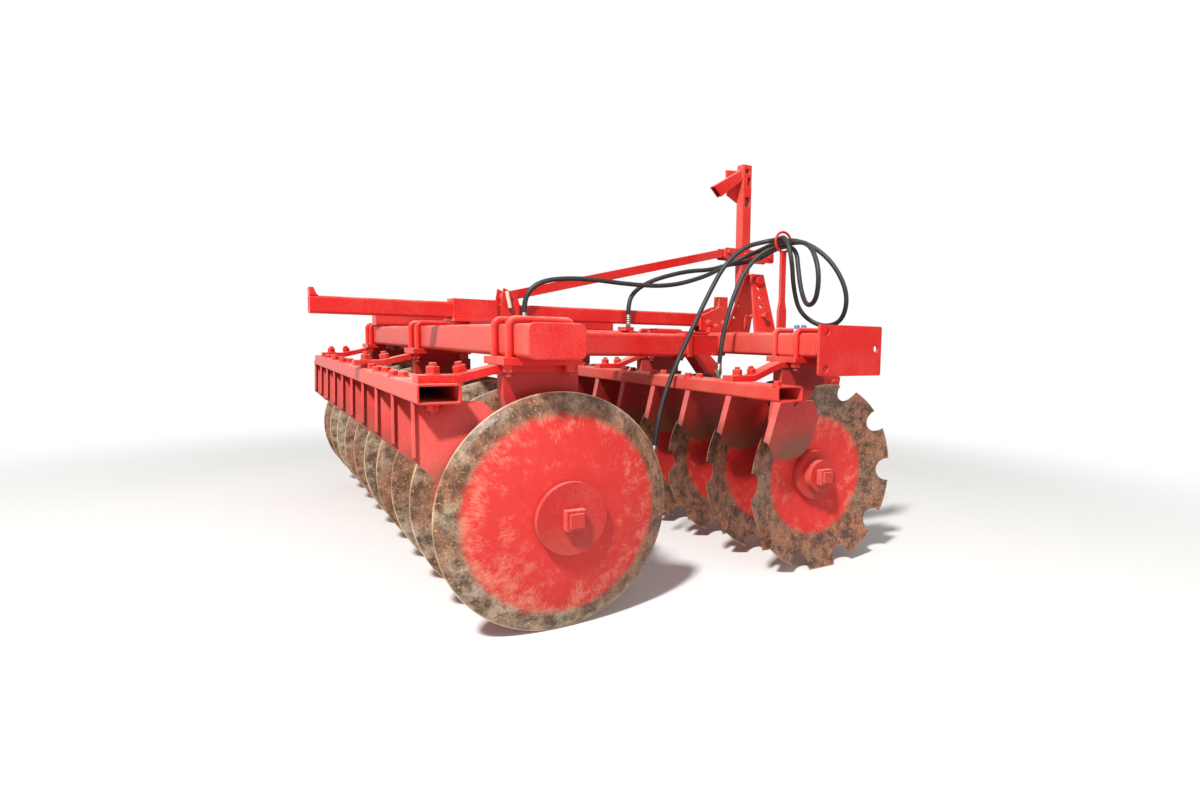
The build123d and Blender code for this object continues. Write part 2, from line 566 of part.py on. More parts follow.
# Cylinder anchor: two plates from the front beam's rear face, with the front pin between them
ANCHOR_GAP = 70
ANCHOR_PLATE = 12
ANCHOR_ROOT = 108
ANCHOR_NOSE = 68
PIN_TAIL = 8
with BuildPart() as cylinder_anchor:
    for level in (-1, 1):
        plate_z = CYLINDER_Z + level * (ANCHOR_GAP + ANCHOR_PLATE) / 2
        with BuildSketch(Plane.XY.offset(plate_z)):
            with BuildLine():
                Polyline((GUIDE_X - ANCHOR_ROOT / 2, FRONT_BEAM_Y - BEAM_WIDTH / 2),
                         (GUIDE_X - ANCHOR_NOSE / 2, ANCHOR_Y - ANCHOR_NOSE / 2),
                         (GUIDE_X + ANCHOR_NOSE / 2, ANCHOR_Y - ANCHOR_NOSE / 2),
                         (GUIDE_X + ANCHOR_ROOT / 2, FRONT_BEAM_Y - BEAM_WIDTH / 2), close=True)
            make_face()
        extrude(amount=ANCHOR_PLATE / 2, both=True)
    with BuildSketch(Plane.XY.offset(CYLINDER_Z - ANCHOR_GAP / 2 - ANCHOR_PLATE - PIN_TAIL)):
        with Locations((GUIDE_X, ANCHOR_Y)):
            Circle(CYLINDER_PIN_R)
    extrude(amount=ANCHOR_GAP + 2 * ANCHOR_PLATE + 2 * PIN_TAIL)
save(cylinder_anchor, "cylinder_anchor")

# Lug on the rear beam, with the pin that the rod's slotted eye drives
LUG_GAP = 44
LUG_PLATE = 12
LUG_ROOT = 110
LUG_NOSE = 60
with BuildPart() as cylinder_lug:
    for level in (-1, 1):
        plate_z = CYLINDER_Z + level * (LUG_GAP + LUG_PLATE) / 2
        with BuildSketch(Plane.XY.offset(plate_z)):
            with BuildLine():
                Polyline((GUIDE_X - LUG_ROOT / 2, REAR_BEAM_Y + BEAM_WIDTH / 2),
                         (GUIDE_X - LUG_NOSE / 2, ROD_PIN_Y + 28), (GUIDE_X + LUG_NOSE / 2, ROD_PIN_Y + 28),
                         (GUIDE_X + LUG_ROOT / 2, REAR_BEAM_Y + BEAM_WIDTH / 2), close=True)
            make_face()
        extrude(amount=LUG_PLATE / 2, both=True)
    with BuildSketch(Plane.XY.offset(CYLINDER_Z - LUG_GAP / 2 - LUG_PLATE - PIN_TAIL)):
        with Locations((GUIDE_X, ROD_PIN_Y)):
            Circle(CYLINDER_PIN_R)
    extrude(amount=LUG_GAP + 2 * LUG_PLATE + 2 * PIN_TAIL)
save(cylinder_lug, "cylinder_lug")

# Cylinder barrel: tube, closed base with a bored eye, open gland end, and a port block near each end
BASE_LENGTH = 30
GLAND_LENGTH = 36
EYE_THICK = 56
PORT_LENGTH = 36
PORT_TOP = 852
PORT_YS = (BARREL_REAR_Y + 22, BARREL_FRONT_Y - 79)
# Section of a port block: place along X from the barrel's axis, height
PORT_SECTION = ((5, 800), (32, 800), (32, 836), (75, 836), (75, PORT_TOP), (5, PORT_TOP))
with BuildPart() as cylinder_barrel:
    with BuildSketch(Plane((GUIDE_X, BARREL_REAR_Y, CYLINDER_Z), x_dir=(-1, 0, 0), z_dir=(0, 1, 0))):
        Circle(BARREL_R)
    extrude(amount=BARREL_FRONT_Y - BARREL_REAR_Y)
    for port_y in PORT_YS:
        with BuildSketch(Plane((GUIDE_X, port_y - PORT_LENGTH / 2, 0), x_dir=(-1, 0, 0), z_dir=(0, 1, 0))):
            with BuildLine():
                Polyline(*[(-across, height) for across, height in PORT_SECTION], close=True)
            make_face()
        extrude(amount=PORT_LENGTH)
    with BuildSketch(Plane.XY.offset(CYLINDER_Z - EYE_THICK / 2)):
        with Locations((GUIDE_X, (BARREL_FRONT_Y + ANCHOR_Y) / 2 - 5)):
            Rectangle(56, ANCHOR_Y - BARREL_FRONT_Y + 10)
        with Locations((GUIDE_X, ANCHOR_Y)):
            Circle(30)
            Circle(CYLINDER_PIN_R + 0.1, mode=Mode.SUBTRACT)
    extrude(amount=EYE_THICK)
    with BuildSketch(Plane((GUIDE_X, BARREL_REAR_Y, CYLINDER_Z), x_dir=(-1, 0, 0), z_dir=(0, 1, 0))):
        Circle(ROD_R + 0.1)
    extrude(amount=GLAND_LENGTH, mode=Mode.SUBTRACT)
    with BuildSketch(Plane((GUIDE_X, BARREL_REAR_Y + GLAND_LENGTH, CYLINDER_Z), x_dir=(-1, 0, 0),
                           z_dir=(0, 1, 0))):
        Circle(BARREL_BORE_R)
    extrude(amount=BARREL_FRONT_Y - BASE_LENGTH - BARREL_REAR_Y - GLAND_LENGTH, mode=Mode.SUBTRACT)
save(cylinder_barrel, "cylinder_barrel")

# Rod with a slotted eye, wide enough across for the pin's small sideways drift
ROD_EYE = 40
EYE_SLOT = 36
with BuildPart() as cylinder_rod:
    with BuildSketch(Plane((GUIDE_X, ROD_PIN_Y + 20, CYLINDER_Z), x_dir=(-1, 0, 0), z_dir=(0, 1, 0))):
        Circle(ROD_R)
    extrude(amount=BARREL_FRONT_Y - BASE_LENGTH - 24 - ROD_PIN_Y - 20)
    with BuildSketch(Plane((GUIDE_X, BARREL_FRONT_Y - BASE_LENGTH - 40, CYLINDER_Z), x_dir=(-1, 0, 0),
                           z_dir=(0, 1, 0))):
        Circle(BARREL_BORE_R - 0.1)
    extrude(amount=30)
    with BuildSketch(Plane.XY.offset(CYLINDER_Z - ROD_EYE / 2)):
        with Locations((GUIDE_X, ROD_PIN_Y)):
            SlotCenterToCenter(EYE_SLOT, 58)
            SlotCenterToCenter(EYE_SLOT, 2 * CYLINDER_PIN_R + 4, mode=Mode.SUBTRACT)
    extrude(amount=ROD_EYE)
save(cylinder_rod, "cylinder_rod")

# Guide sleeve: square tube that slides on the guide beam, with a slotted slide plate under it
sleeve_inner_x = GUIDE_WIDTH + 2 * SLEEVE_PLAY
sleeve_inner_z = GUIDE_HEIGHT + 2 * SLEEVE_PLAY
with BuildPart() as guide_sleeve:
    with BuildSketch(Plane((GUIDE_X, SLEEVE_Y - SLEEVE_LENGTH / 2, GUIDE_Z), x_dir=(-1, 0, 0),
                           z_dir=(0, 1, 0))):
        Rectangle(sleeve_inner_x + 2 * SLEEVE_WALL, sleeve_inner_z + 2 * SLEEVE_WALL)
        Rectangle(sleeve_inner_x, sleeve_inner_z, mode=Mode.SUBTRACT)
    extrude(amount=SLEEVE_LENGTH)
    with BuildSketch(Plane.XY.offset(guide_bottom - SLEEVE_PLAY - SLEEVE_WALL)):
        with Locations((GUIDE_X - 18, SLEEVE_Y)):
            Rectangle(SLIDE_PLATE_X + 20, SLEEVE_LENGTH)
    extrude(amount=SLEEVE_WALL)
    with BuildSketch(Plane.XY.offset(guide_bottom - SLEEVE_PLAY - SLEEVE_WALL - 1)):
        with Locations((GUIDE_X - 28, REAR_BEAM_Y)):
            SlotCenterToCenter(76, 2 * STUB_R + 8)
    extrude(amount=SLEEVE_WALL + 2, mode=Mode.SUBTRACT)
save(guide_sleeve, "guide_sleeve")

# Pad and stub on the rear beam that drive the sleeve through its slot
pad_top = guide_bottom - SLEEVE_PLAY - SLEEVE_WALL - 0.5
with BuildPart() as slide_pad:
    with BuildSketch(Plane.XY.offset(BEAM_TOP)):
        with Locations((GUIDE_X, REAR_BEAM_Y)):
            Circle(32)
    extrude(amount=pad_top - BEAM_TOP)
    with BuildSketch(Plane.XY.offset(pad_top)):
        with Locations((GUIDE_X, REAR_BEAM_Y)):
            Circle(STUB_R)
    extrude(amount=SLEEVE_WALL)
save(slide_pad, "slide_pad")

# Two-lobed pin bracket on the guide beam ahead of the sleeve, with its slanted pin
LOBE_Y = REAR_AXLE_Y + 118
BRACE_PIN_R = 9
# The brace's two pins: place along Y and height
BRACE_REAR = (LOBE_Y - 6, 950)
BRACE_FRONT = (667, 1196)
with BuildPart() as pin_bracket:
    for side in (-1, 1):
        with BuildSketch(Plane.YZ.offset(GUIDE_X + side * (GUIDE_WIDTH / 2 + 4) - 4)):
            with BuildLine():
                Polyline((LOBE_Y - 34, guide_bottom + 4), (LOBE_Y + 34, guide_bottom + 4),
                         (LOBE_Y + 34, guide_top), (LOBE_Y + 24, guide_top + 36),
                         (LOBE_Y - 24, guide_top + 58), (LOBE_Y - 34, guide_top), close=True)
            make_face()
        extrude(amount=8)
    with BuildSketch(Plane((GUIDE_X - GUIDE_WIDTH / 2 - 16, BRACE_REAR[0], BRACE_REAR[1]), x_dir=(0, 1, 0),
                           z_dir=(1, 0, 0))):
        Circle(BRACE_PIN_R)
    extrude(amount=GUIDE_WIDTH + 32)
save(pin_bracket, "pin_bracket")

# Hitch mast: square tube with a bushed hole and two windows in its head, and an open arm behind it
MAST = 50
MAST_WALL = 5
MAST_Y = FRONT_BEAM_Y + BEAM_WIDTH / 2 + 66
MAST_FOOT = BEAM_BOTTOM
MAST_TOP = 1588
HEAD_PIN_R = 12.9
HEAD_PIN_Z = 1560
# Windows in the mast's side walls: place along Y from its middle, height, width, height of the opening
HEAD_WINDOWS = ((9, 1516, 18, 36), (3, 1426, 26, 44))
ARM_SIDE_X = GUIDE_X - 15
HEAD_ARM_WIDTH = 36
# Outlines along Y and in height: the arm, its hollow and the gusset beside it
HEAD_ARM = ((743, 1565), (593, 1472), (632, 1434), (743, 1518))
HEAD_ARM_HOLLOW = ((738, 1556), (585, 1461), (620, 1431), (738, 1520))
HEAD_GUSSET = ((743, 1565), (680, 1560), (688, 1452), (743, 1425))
with BuildPart() as hitch_mast:
    with BuildSketch(Plane((GUIDE_X, MAST_Y, MAST_FOOT), z_dir=(0, 0, 1))):
        beam_section(MAST, MAST, MAST_WALL, MAST_WALL + 1)
    extrude(amount=MAST_TOP - MAST_FOOT)
    with BuildSketch(Plane.YZ.offset(GUIDE_X - MAST / 2)):
        with Locations((MAST_Y, HEAD_PIN_Z)):
            Circle(HEAD_PIN_R + 7)
    extrude(amount=MAST)
    with BuildSketch(Plane.YZ.offset(GUIDE_X - MAST)):
        with Locations((MAST_Y, HEAD_PIN_Z)):
            Circle(HEAD_PIN_R)
        for along, height, width, opening in HEAD_WINDOWS:
            with Locations((MAST_Y + along, height)):
                Rectangle(width, opening)
    extrude(amount=2 * MAST, mode=Mode.SUBTRACT)
    with BuildSketch(Plane.YZ.offset(ARM_SIDE_X)):
        with BuildLine():
            Polyline(*HEAD_ARM, close=True)
        make_face()
    extrude(amount=HEAD_ARM_WIDTH)
    with BuildSketch(Plane.YZ.offset(ARM_SIDE_X + MAST_WALL)):
        with BuildLine():
            Polyline(*HEAD_ARM_HOLLOW, close=True)
        make_face()
    extrude(amount=HEAD_ARM_WIDTH - 2 * MAST_WALL, mode=Mode.SUBTRACT)
    with BuildSketch(Plane.YZ.offset(GUIDE_X - MAST / 2)):
        with BuildLine():
            Polyline(*HEAD_GUSSET, close=True)
        make_face()
    extrude(amount=ARM_SIDE_X - GUIDE_X + MAST / 2)
save(hitch_mast, "hitch_mast")

# Headstock: two plates and a spacer that hold the mast's foot on the beam's front face
HEADSTOCK_PLATE = 12
HEADSTOCK_LENGTH = 100
beam_face_y = FRONT_BEAM_Y + BEAM_WIDTH / 2
spacer = MAST_Y - MAST / 2 - beam_face_y
with BuildPart() as headstock:
    with BuildSketch(Plane.XY.offset(BEAM_BOTTOM)):
        with Locations((GUIDE_X, beam_face_y + spacer / 2)):
            Rectangle(MAST, spacer)
        for side in (-1, 1):
            plate_x = GUIDE_X + side * (MAST + HEADSTOCK_PLATE) / 2
            with Locations((plate_x, beam_face_y + HEADSTOCK_LENGTH / 2)):
                Rectangle(HEADSTOCK_PLATE, HEADSTOCK_LENGTH)
    extrude(amount=BEAM_HEIGHT)
save(headstock, "mast_headstock")

# Collar: two plates along the mast's sides, pinned to the brace behind and to the top link ahead
COLLAR_Z = 1190
COLLAR_HEIGHT = 50
COLLAR_PLATE = 10
COLLAR_REAR_Y = 647
COLLAR_FRONT_Y = 921
TOP_LINK_Y = COLLAR_FRONT_Y - 22
TOP_LINK_R = 12.5
with BuildPart() as mast_collar:
    for side in (-1, 1):
        with BuildSketch(Plane.YZ.offset(GUIDE_X + side * (MAST + COLLAR_PLATE) / 2 - COLLAR_PLATE / 2)):
            with Locations(((COLLAR_REAR_Y + COLLAR_FRONT_Y) / 2, COLLAR_Z)):
                RectangleRounded(COLLAR_FRONT_Y - COLLAR_REAR_Y, COLLAR_HEIGHT, 12)
        extrude(amount=COLLAR_PLATE)
    with BuildSketch(Plane.YZ.offset(GUIDE_X - MAST / 2 - COLLAR_PLATE - 10)):
        with Locations(BRACE_FRONT):
            Circle(BRACE_PIN_R)
        with Locations((TOP_LINK_Y, COLLAR_Z)):
            Circle(TOP_LINK_R)
    extrude(amount=MAST + 2 * COLLAR_PLATE + 20)
save(mast_collar, "mast_collar")

# Brace from the pin bracket up to the collar: square bar with rounded, bored ends
BRACE = 34
brace_rise = BRACE_FRONT[1] - BRACE_REAR[1]
brace_run = BRACE_FRONT[0] - BRACE_REAR[0]
brace_middle = ((BRACE_REAR[0] + BRACE_FRONT[0]) / 2, (BRACE_REAR[1] + BRACE_FRONT[1]) / 2)
brace_length = sqrt(brace_run**2 + brace_rise**2)
with BuildPart() as mast_brace:
    with BuildSketch(Plane((GUIDE_X - BRACE / 2, brace_middle[0], brace_middle[1]),
                           x_dir=(0, brace_run, brace_rise), z_dir=(1, 0, 0))):
        SlotCenterToCenter(brace_length, BRACE)
        with Locations((-brace_length / 2, 0), (brace_length / 2, 0)):
            Circle(BRACE_PIN_R, mode=Mode.SUBTRACT)
    extrude(amount=BRACE)
save(mast_brace, "mast_brace")

# Tower: two plates that lean together, with rows of adjustment holes, and the pin that joins their tops
TOWER_TOP = 1080
CHEEK = 12
TOWER_HOLE_R = 7.5
APEX_PIN = (644, TOWER_TOP - 26)
APEX_PIN_R = 12
# Plates: foot and top along X, then the corners' places along Y at the foot and at the top
TOWER_CHEEKS = ((745, 685, (594, 702), (613, 676)), (561, 655, (576, 702), (612, 676)))
# Holes: start along X of the cut and its length, then places along Y and heights
TOWER_HOLES = ((665, 100, ((641, 1060), (641, 1022), (641, 985), (641, 948), (641, 910))),
               (550, 100, ((611, 955), (603, 905), (597, 857))))
with BuildPart() as tower_cheeks:
    for foot_x, top_x, foot_ys, top_ys in TOWER_CHEEKS:
        lean = Vector(top_x - foot_x, 0, TOWER_TOP - BEAM_TOP)
        with BuildSketch(Plane((foot_x, 0, BEAM_TOP), x_dir=(0, 1, 0), z_dir=(lean.Z, 0, -lean.X))):
            with BuildLine():
                Polyline((foot_ys[0], -CHEEK), (foot_ys[1], -CHEEK), (foot_ys[1], 0),
                         (top_ys[1], lean.length), (top_ys[0], lean.length), (foot_ys[0], 0), close=True)
            make_face()
        extrude(amount=CHEEK / 2, both=True)
    split(bisect_by=Plane.XY.offset(BEAM_TOP), keep=Keep.TOP)
    for start_x, length, holes in TOWER_HOLES:
        with BuildSketch(Plane.YZ.offset(start_x)):
            with Locations(*holes):
                Circle(TOWER_HOLE_R)
        extrude(amount=length, mode=Mode.SUBTRACT)
    with BuildSketch(Plane.YZ.offset(TOWER_CHEEKS[1][1] - 20)):
        with Locations(APEX_PIN):
            Circle(APEX_PIN_R)
    extrude(amount=TOWER_CHEEKS[0][1] - TOWER_CHEEKS[1][1] + 40)
save(tower_cheeks, "tower_cheeks")

# Hitch pin kept in the near cheek's lowest hole, with its handle hanging inside the tower
TOWER_PIN_START = Vector(757, 641, 910)
TOWER_PIN_LENGTH = 137
TOWER_PIN_DROP = 56
TOWER_PIN_BEND = 16
TOWER_PIN_HEAD_R = 13
with BuildPart() as tower_pin:
    with BuildLine() as path:
        FilletPolyline(TOWER_PIN_START, TOWER_PIN_START - (TOWER_PIN_LENGTH, 0, 0),
                       TOWER_PIN_START - (TOWER_PIN_LENGTH, 0, TOWER_PIN_DROP), radius=TOWER_PIN_BEND)
    with BuildSketch(Plane(TOWER_PIN_START, x_dir=(0, 1, 0), z_dir=(-1, 0, 0))):
        Circle(TOWER_HOLE_R)
    sweep(path=path.line)
    with BuildSketch(Plane(TOWER_PIN_START, x_dir=(0, 1, 0), z_dir=(1, 0, 0))):
        Circle(TOWER_PIN_HEAD_R)
    extrude(amount=TOWER_HOLE_R)
save(tower_pin, "tower_pin")

# Hose post, wider at its foot, with the ring that the hoses pass through
POST_X = NEAR_RIM_X - 400
POST_Y = FRONT_BEAM_Y + 48
POST_TOP = 1162
POST_THICK = 13
POST_PAD = 50
# Outline of the post: place along Y from its middle, height
POST_OUTLINE = ((-20, BEAM_TOP), (20, BEAM_TOP), (20, BEAM_TOP + 90), (12, BEAM_TOP + 130),
                (12, POST_TOP), (-12, POST_TOP), (-12, BEAM_TOP + 130), (-20, BEAM_TOP + 90))
RING_Z = 1203
RING_R = 39
RING_ROD_R = 5
with BuildPart() as hose_post:
    with BuildSketch(Plane.XY.offset(BEAM_TOP)):
        with Locations((POST_X, POST_Y)):
            Rectangle(POST_PAD, POST_PAD)
    extrude(amount=10)
    with BuildSketch(Plane.YZ.offset(POST_X - POST_THICK / 2)):
        with BuildLine():
            Polyline(*[(POST_Y + along, height) for along, height in POST_OUTLINE], close=True)
        make_face()
    extrude(amount=POST_THICK)
    with BuildSketch(Plane((POST_X, POST_Y + RING_R, RING_Z), z_dir=(0, 0, 1))):
        Circle(RING_ROD_R)
    revolve(axis=Axis((POST_X, POST_Y, RING_Z), (1, 0, 0)))
save(hose_post, "hose_post")

# Two hydraulic hoses: up from the cylinder's ports, over the guide beam, through the ring and down
HOSE_R = 9
HOSES = {
    "a": (
        (475, -262, 892), (475, -262, 947), (482, -225, 996), (488, -158, 1021), (493, -28, 1031),
        (497, 156, 1019), (499, 336, 1022), (501, 506, 1072), (501, 616, 1128), (525, 690, 1168),
        (593, 723, 1192), (745, 692, 1210), (870, 686, 1209), (970, 712, 1170), (1050, 744, 1093),
        (1093, 771, 985), (1055, 780, 884), (957, 760, 866), (895, 701, 920), (913, 650, 1018),
        (937, 620, 1112), (915, 618, 1180), (859, 640, 1217), (803, 663, 1214), (747, 636, 1208),
        (723, 551, 1182), (703, 469, 1108), (694, 400, 985), (691, 331, 852), (685, 265, 718),
        (681, 213, 590), (689, 180, 478), (691, 168, 400),
    ),
    "b": (
        (475, 162, 900), (475, 162, 950), (465, 192, 994), (463, 248, 1032), (463, 336, 1066),
        (463, 456, 1097), (465, 561, 1108), (477, 642, 1136), (517, 714, 1148), (603, 741, 1166),
        (735, 698, 1184), (835, 684, 1188), (890, 682, 1160), (915, 671, 1090), (960, 650, 1000),
        (1025, 624, 938), (1110, 593, 955), (1141, 576, 1045), (1095, 591, 1130), (1010, 624, 1178),
        (900, 657, 1191), (795, 664, 1188), (745, 616, 1160), (729, 553, 1090), (727, 501, 990),
        (726, 466, 885), (723, 446, 790), (725, 438, 715),
    ),
}
FITTING_R = 11
COUPLER_R = 14
# Across-flats and length of the fitting's hexagon, then the coupler's length on each hose
FITTING_HEX = 20
FITTING_HEX_LENGTH = 16
COUPLER_LENGTHS = {"a": 80, "b": 62}
for hose_name, points in HOSES.items():
    rows = [Vector(*point) for point in points]
    radii = []
    for before, corner, after in zip(rows, rows[1:], rows[2:]):
        arriving, leaving = corner - before, after - corner
        turn = arriving.get_angle(leaving)
        radii.append(0.45 * min(arriving.length, leaving.length) / tan(radians(turn / 2)))
    print(f"hose_{hose_name} radii", " ".join(f"{radius:.0f}" for radius in radii))
    with BuildPart() as hose:
        with BuildLine() as path:
            FilletPolyline(*rows, radius=radii)
        with BuildSketch(Plane(rows[0], z_dir=rows[1] - rows[0])):
            Circle(HOSE_R)
        sweep(path=path.line)
    tube_length = sum(edge.length for edge in path.edges())
    print(f"hose_{hose_name} length {tube_length:.0f}, volume over section times length",
          f"{hose.part.volume / (pi * HOSE_R**2 * tube_length):.4f}")
    save(hose, f"hose_{hose_name}")

    # Fitting: hexagon screwed into the port, then the sleeve crimped round the hose's end
    with BuildPart() as fitting:
        with BuildSketch(Plane((rows[0].X, rows[0].Y, PORT_TOP), z_dir=(0, 0, 1))):
            RegularPolygon(FITTING_HEX / 2, 6, major_radius=False)
        extrude(amount=FITTING_HEX_LENGTH)
        with BuildSketch(Plane((rows[0].X, rows[0].Y, PORT_TOP + FITTING_HEX_LENGTH), z_dir=(0, 0, 1))):
            Circle(FITTING_R)
        extrude(amount=rows[0].Z - PORT_TOP - FITTING_HEX_LENGTH)
    save(fitting, f"hose_{hose_name}_fitting")

    # Quick coupler on the free end: sleeve, hexagon and plug nose in line with the last run
    coupler_length = COUPLER_LENGTHS[hose_name]
    down = (rows[-1] - rows[-2]).normalized()
    with BuildPart() as coupler:
        with BuildSketch(Plane(rows[-1], z_dir=down)):
            Circle(FITTING_R)
        extrude(amount=coupler_length * 0.45)
        with BuildSketch(Plane(rows[-1] + down * coupler_length * 0.45, z_dir=down)):
            RegularPolygon(COUPLER_R, 6)
        extrude(amount=coupler_length * 0.25)
        with BuildSketch(Plane(rows[-1] + down * coupler_length * 0.7, z_dir=down)):
            Circle(FITTING_R)
        extrude(amount=coupler_length * 0.3)
    save(coupler, f"hose_{hose_name}_coupler")

# Lower hitch brackets ahead of the front beam, with their pins
HITCH_PIN_R = 14
HITCH_PIN_LENGTH = 124
HITCH_SPREAD = 870
HITCH_Y = FRONT_BEAM_Y + 270
HITCH_Z = 640
HITCH_EAR_GAP = 60
HITCH_EAR = 16
# Outline of an ear: place along Y, height
HITCH_OUTLINE = ((beam_face_y, BEAM_TOP), (beam_face_y + 40, BEAM_TOP), (HITCH_Y + 40, HITCH_Z + 20),
                 (HITCH_Y + 30, HITCH_Z - 35), (HITCH_Y - 40, HITCH_Z - 35),
                 (beam_face_y + 40, BEAM_BOTTOM), (beam_face_y, BEAM_BOTTOM))
with BuildPart() as hitch_brackets:
    for side in (-1, 1):
        bracket_x = GUIDE_X + side * HITCH_SPREAD / 2
        for ear in (-1, 1):
            with BuildSketch(Plane.YZ.offset(bracket_x + ear * (HITCH_EAR_GAP + HITCH_EAR) / 2)):
                with BuildLine():
                    Polyline(*HITCH_OUTLINE, close=True)
                make_face()
            extrude(amount=HITCH_EAR / 2, both=True)
        with BuildSketch(Plane((bracket_x, HITCH_Y, HITCH_Z), x_dir=(0, 1, 0), z_dir=(1, 0, 0))):
            Circle(HITCH_PIN_R)
        extrude(amount=HITCH_PIN_LENGTH / 2, both=True)
save(hitch_brackets, "hitch_brackets")
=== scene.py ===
"""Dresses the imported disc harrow: hoses, enamel, worn steel, fasteners, welds, floor and the photo's view."""
import logging
import math
from dataclasses import dataclass, field
from enum import Enum

import bpy
import numpy as np
from mathutils import Matrix, Vector


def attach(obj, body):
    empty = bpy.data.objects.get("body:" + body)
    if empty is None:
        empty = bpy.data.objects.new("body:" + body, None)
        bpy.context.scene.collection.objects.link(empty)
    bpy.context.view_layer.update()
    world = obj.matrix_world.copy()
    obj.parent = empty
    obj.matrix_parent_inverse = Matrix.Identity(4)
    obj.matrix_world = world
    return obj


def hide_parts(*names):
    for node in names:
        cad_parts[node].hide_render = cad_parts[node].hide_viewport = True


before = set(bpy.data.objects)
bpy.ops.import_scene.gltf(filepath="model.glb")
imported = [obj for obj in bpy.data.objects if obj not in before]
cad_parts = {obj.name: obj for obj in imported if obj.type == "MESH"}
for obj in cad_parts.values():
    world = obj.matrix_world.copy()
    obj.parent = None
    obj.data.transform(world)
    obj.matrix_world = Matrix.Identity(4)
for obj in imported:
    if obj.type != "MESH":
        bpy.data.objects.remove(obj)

LOG = logging.getLogger("harrow")
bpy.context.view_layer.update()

# Places and sizes of the machine, in metres
NEAR_RIM_X = 1.215
REAR_AXLE_Y = -0.424
FRONT_AXLE_Y = 0.566
AXLE_Z = 0.33
DISC_R = 0.33
DISC_PITCH = 0.27
DISC_COUNT = 10
BEAM_TOP = 0.839
FRONT_BEAM_Y = 0.627
REAR_BEAM_Y = -0.474
PIVOT_X = -0.815

Row = tuple[float, ...]
Rows = tuple[Row, ...]
# Low and high corners of plates
Plates = tuple[tuple[Row, Row], ...]
# Beads alike: each one's x, their y and z, the axis they run along, where on it they end, and the radius
Seams = tuple[tuple[Row, float, float, str, float, float], ...]
Socket = bpy.types.NodeSocket
Tree = bpy.types.NodeTree
Material = bpy.types.Material
Piece = bpy.types.Object
WHITE = (1.0, 1.0, 1.0, 1.0)
# Faces that meet under this angle are shaded as one
SMOOTH_DEG = 35.0


class Way(Enum):
    """Direction that a fastener's head looks."""

    RIGHT = (1.0, 0.0, 0.0)
    LEFT = (-1.0, 0.0, 0.0)
    UP = (0.0, 0.0, 1.0)
    DOWN = (0.0, 0.0, -1.0)


class Body(Enum):
    """Bodies of the machine that new pieces ride on."""

    FRAME = "frame"
    REAR_FRAME = "rear_frame"
    BARREL = "cylinder_barrel"


def linear(hex_colour: str) -> Row:
    """Turns an sRGB hex colour into linear light.

    Args:
        hex_colour: Six hex digits.

    Returns:
        Red, green, blue and an alpha of one.
    """
    parts = [int(hex_colour[i:i + 2], 16) / 255 for i in (0, 2, 4)]
    turned_on = [p / 12.92 if p <= 0.04045 else ((p + 0.055) / 1.055) ** 2.4 for p in parts]
    return (*turned_on, 1.0)


def add_node(tree: Tree, kind: str, links: dict | None = None, **settings: object) -> bpy.types.Node:
    """Adds one shader node with its settings and links.

    Args:
        tree: The node tree that the node goes into.
        kind: Blender's name of the node.
        links: Input name or index to the output that feeds it, or to a plain value.
        settings: Properties of the node.

    Returns:
        The new node.
    """
    made = tree.nodes.new(kind)
    for name, value in settings.items():
        setattr(made, name, value)
    for name, value in (links or {}).items():
        if isinstance(value, Socket):
            tree.links.new(value, made.inputs[name])
        else:
            made.inputs[name].default_value = value
    return made


def seen_directly(tree: Tree) -> Socket:
    """Adds a test that is one for the camera's own rays and for mirrored ones."""
    path = add_node(tree, "ShaderNodeLightPath")
    rays = {0: path.outputs["Is Camera Ray"], 1: path.outputs["Is Glossy Ray"]}
    return add_node(tree, "ShaderNodeMath", rays, operation="MAXIMUM").outputs[0]


def show_white(tree: Tree, share: Socket, lit: Socket, kind: str, end: str) -> None:
    """Shows plain white in place of a lit surface.

    Args:
        tree: The node tree.
        share: How much of the white is shown.
        lit: The surface's shader.
        kind: Blender's name of the node that makes the white.
        end: Name of the output node.
    """
    white = add_node(tree, kind, {"Color": WHITE, "Strength": 1.0})
    mixed = add_node(tree, "ShaderNodeMixShader", {0: share, 1: lit, 2: white.outputs[0]})
    tree.links.new(mixed.outputs[0], tree.nodes[end].inputs["Surface"])


def put(name: str, data: bpy.types.ID) -> Piece:
    """Makes an object of the data, at the origin, and links it to the scene."""
    made = bpy.data.objects.new(name, data)
    bpy.context.scene.collection.objects.link(made)
    return made


def corners(x: float, y: float, half_x: float, half_y: float) -> list[Row]:
    """Corners of a rectangle about a middle, in the order of x and then y."""
    return [(x + side * half_x, y + end * half_y) for side in (-1, 1) for end in (-1, 1)]


def dress(finish: Material, *nodes: str) -> None:
    """Gives CAD nodes one finish.

    Args:
        finish: The material that replaces what they came with.
        nodes: The nodes' names.
    """
    for name in nodes:
        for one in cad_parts[name].material_slots:
            one.link = "OBJECT"
            one.material = finish


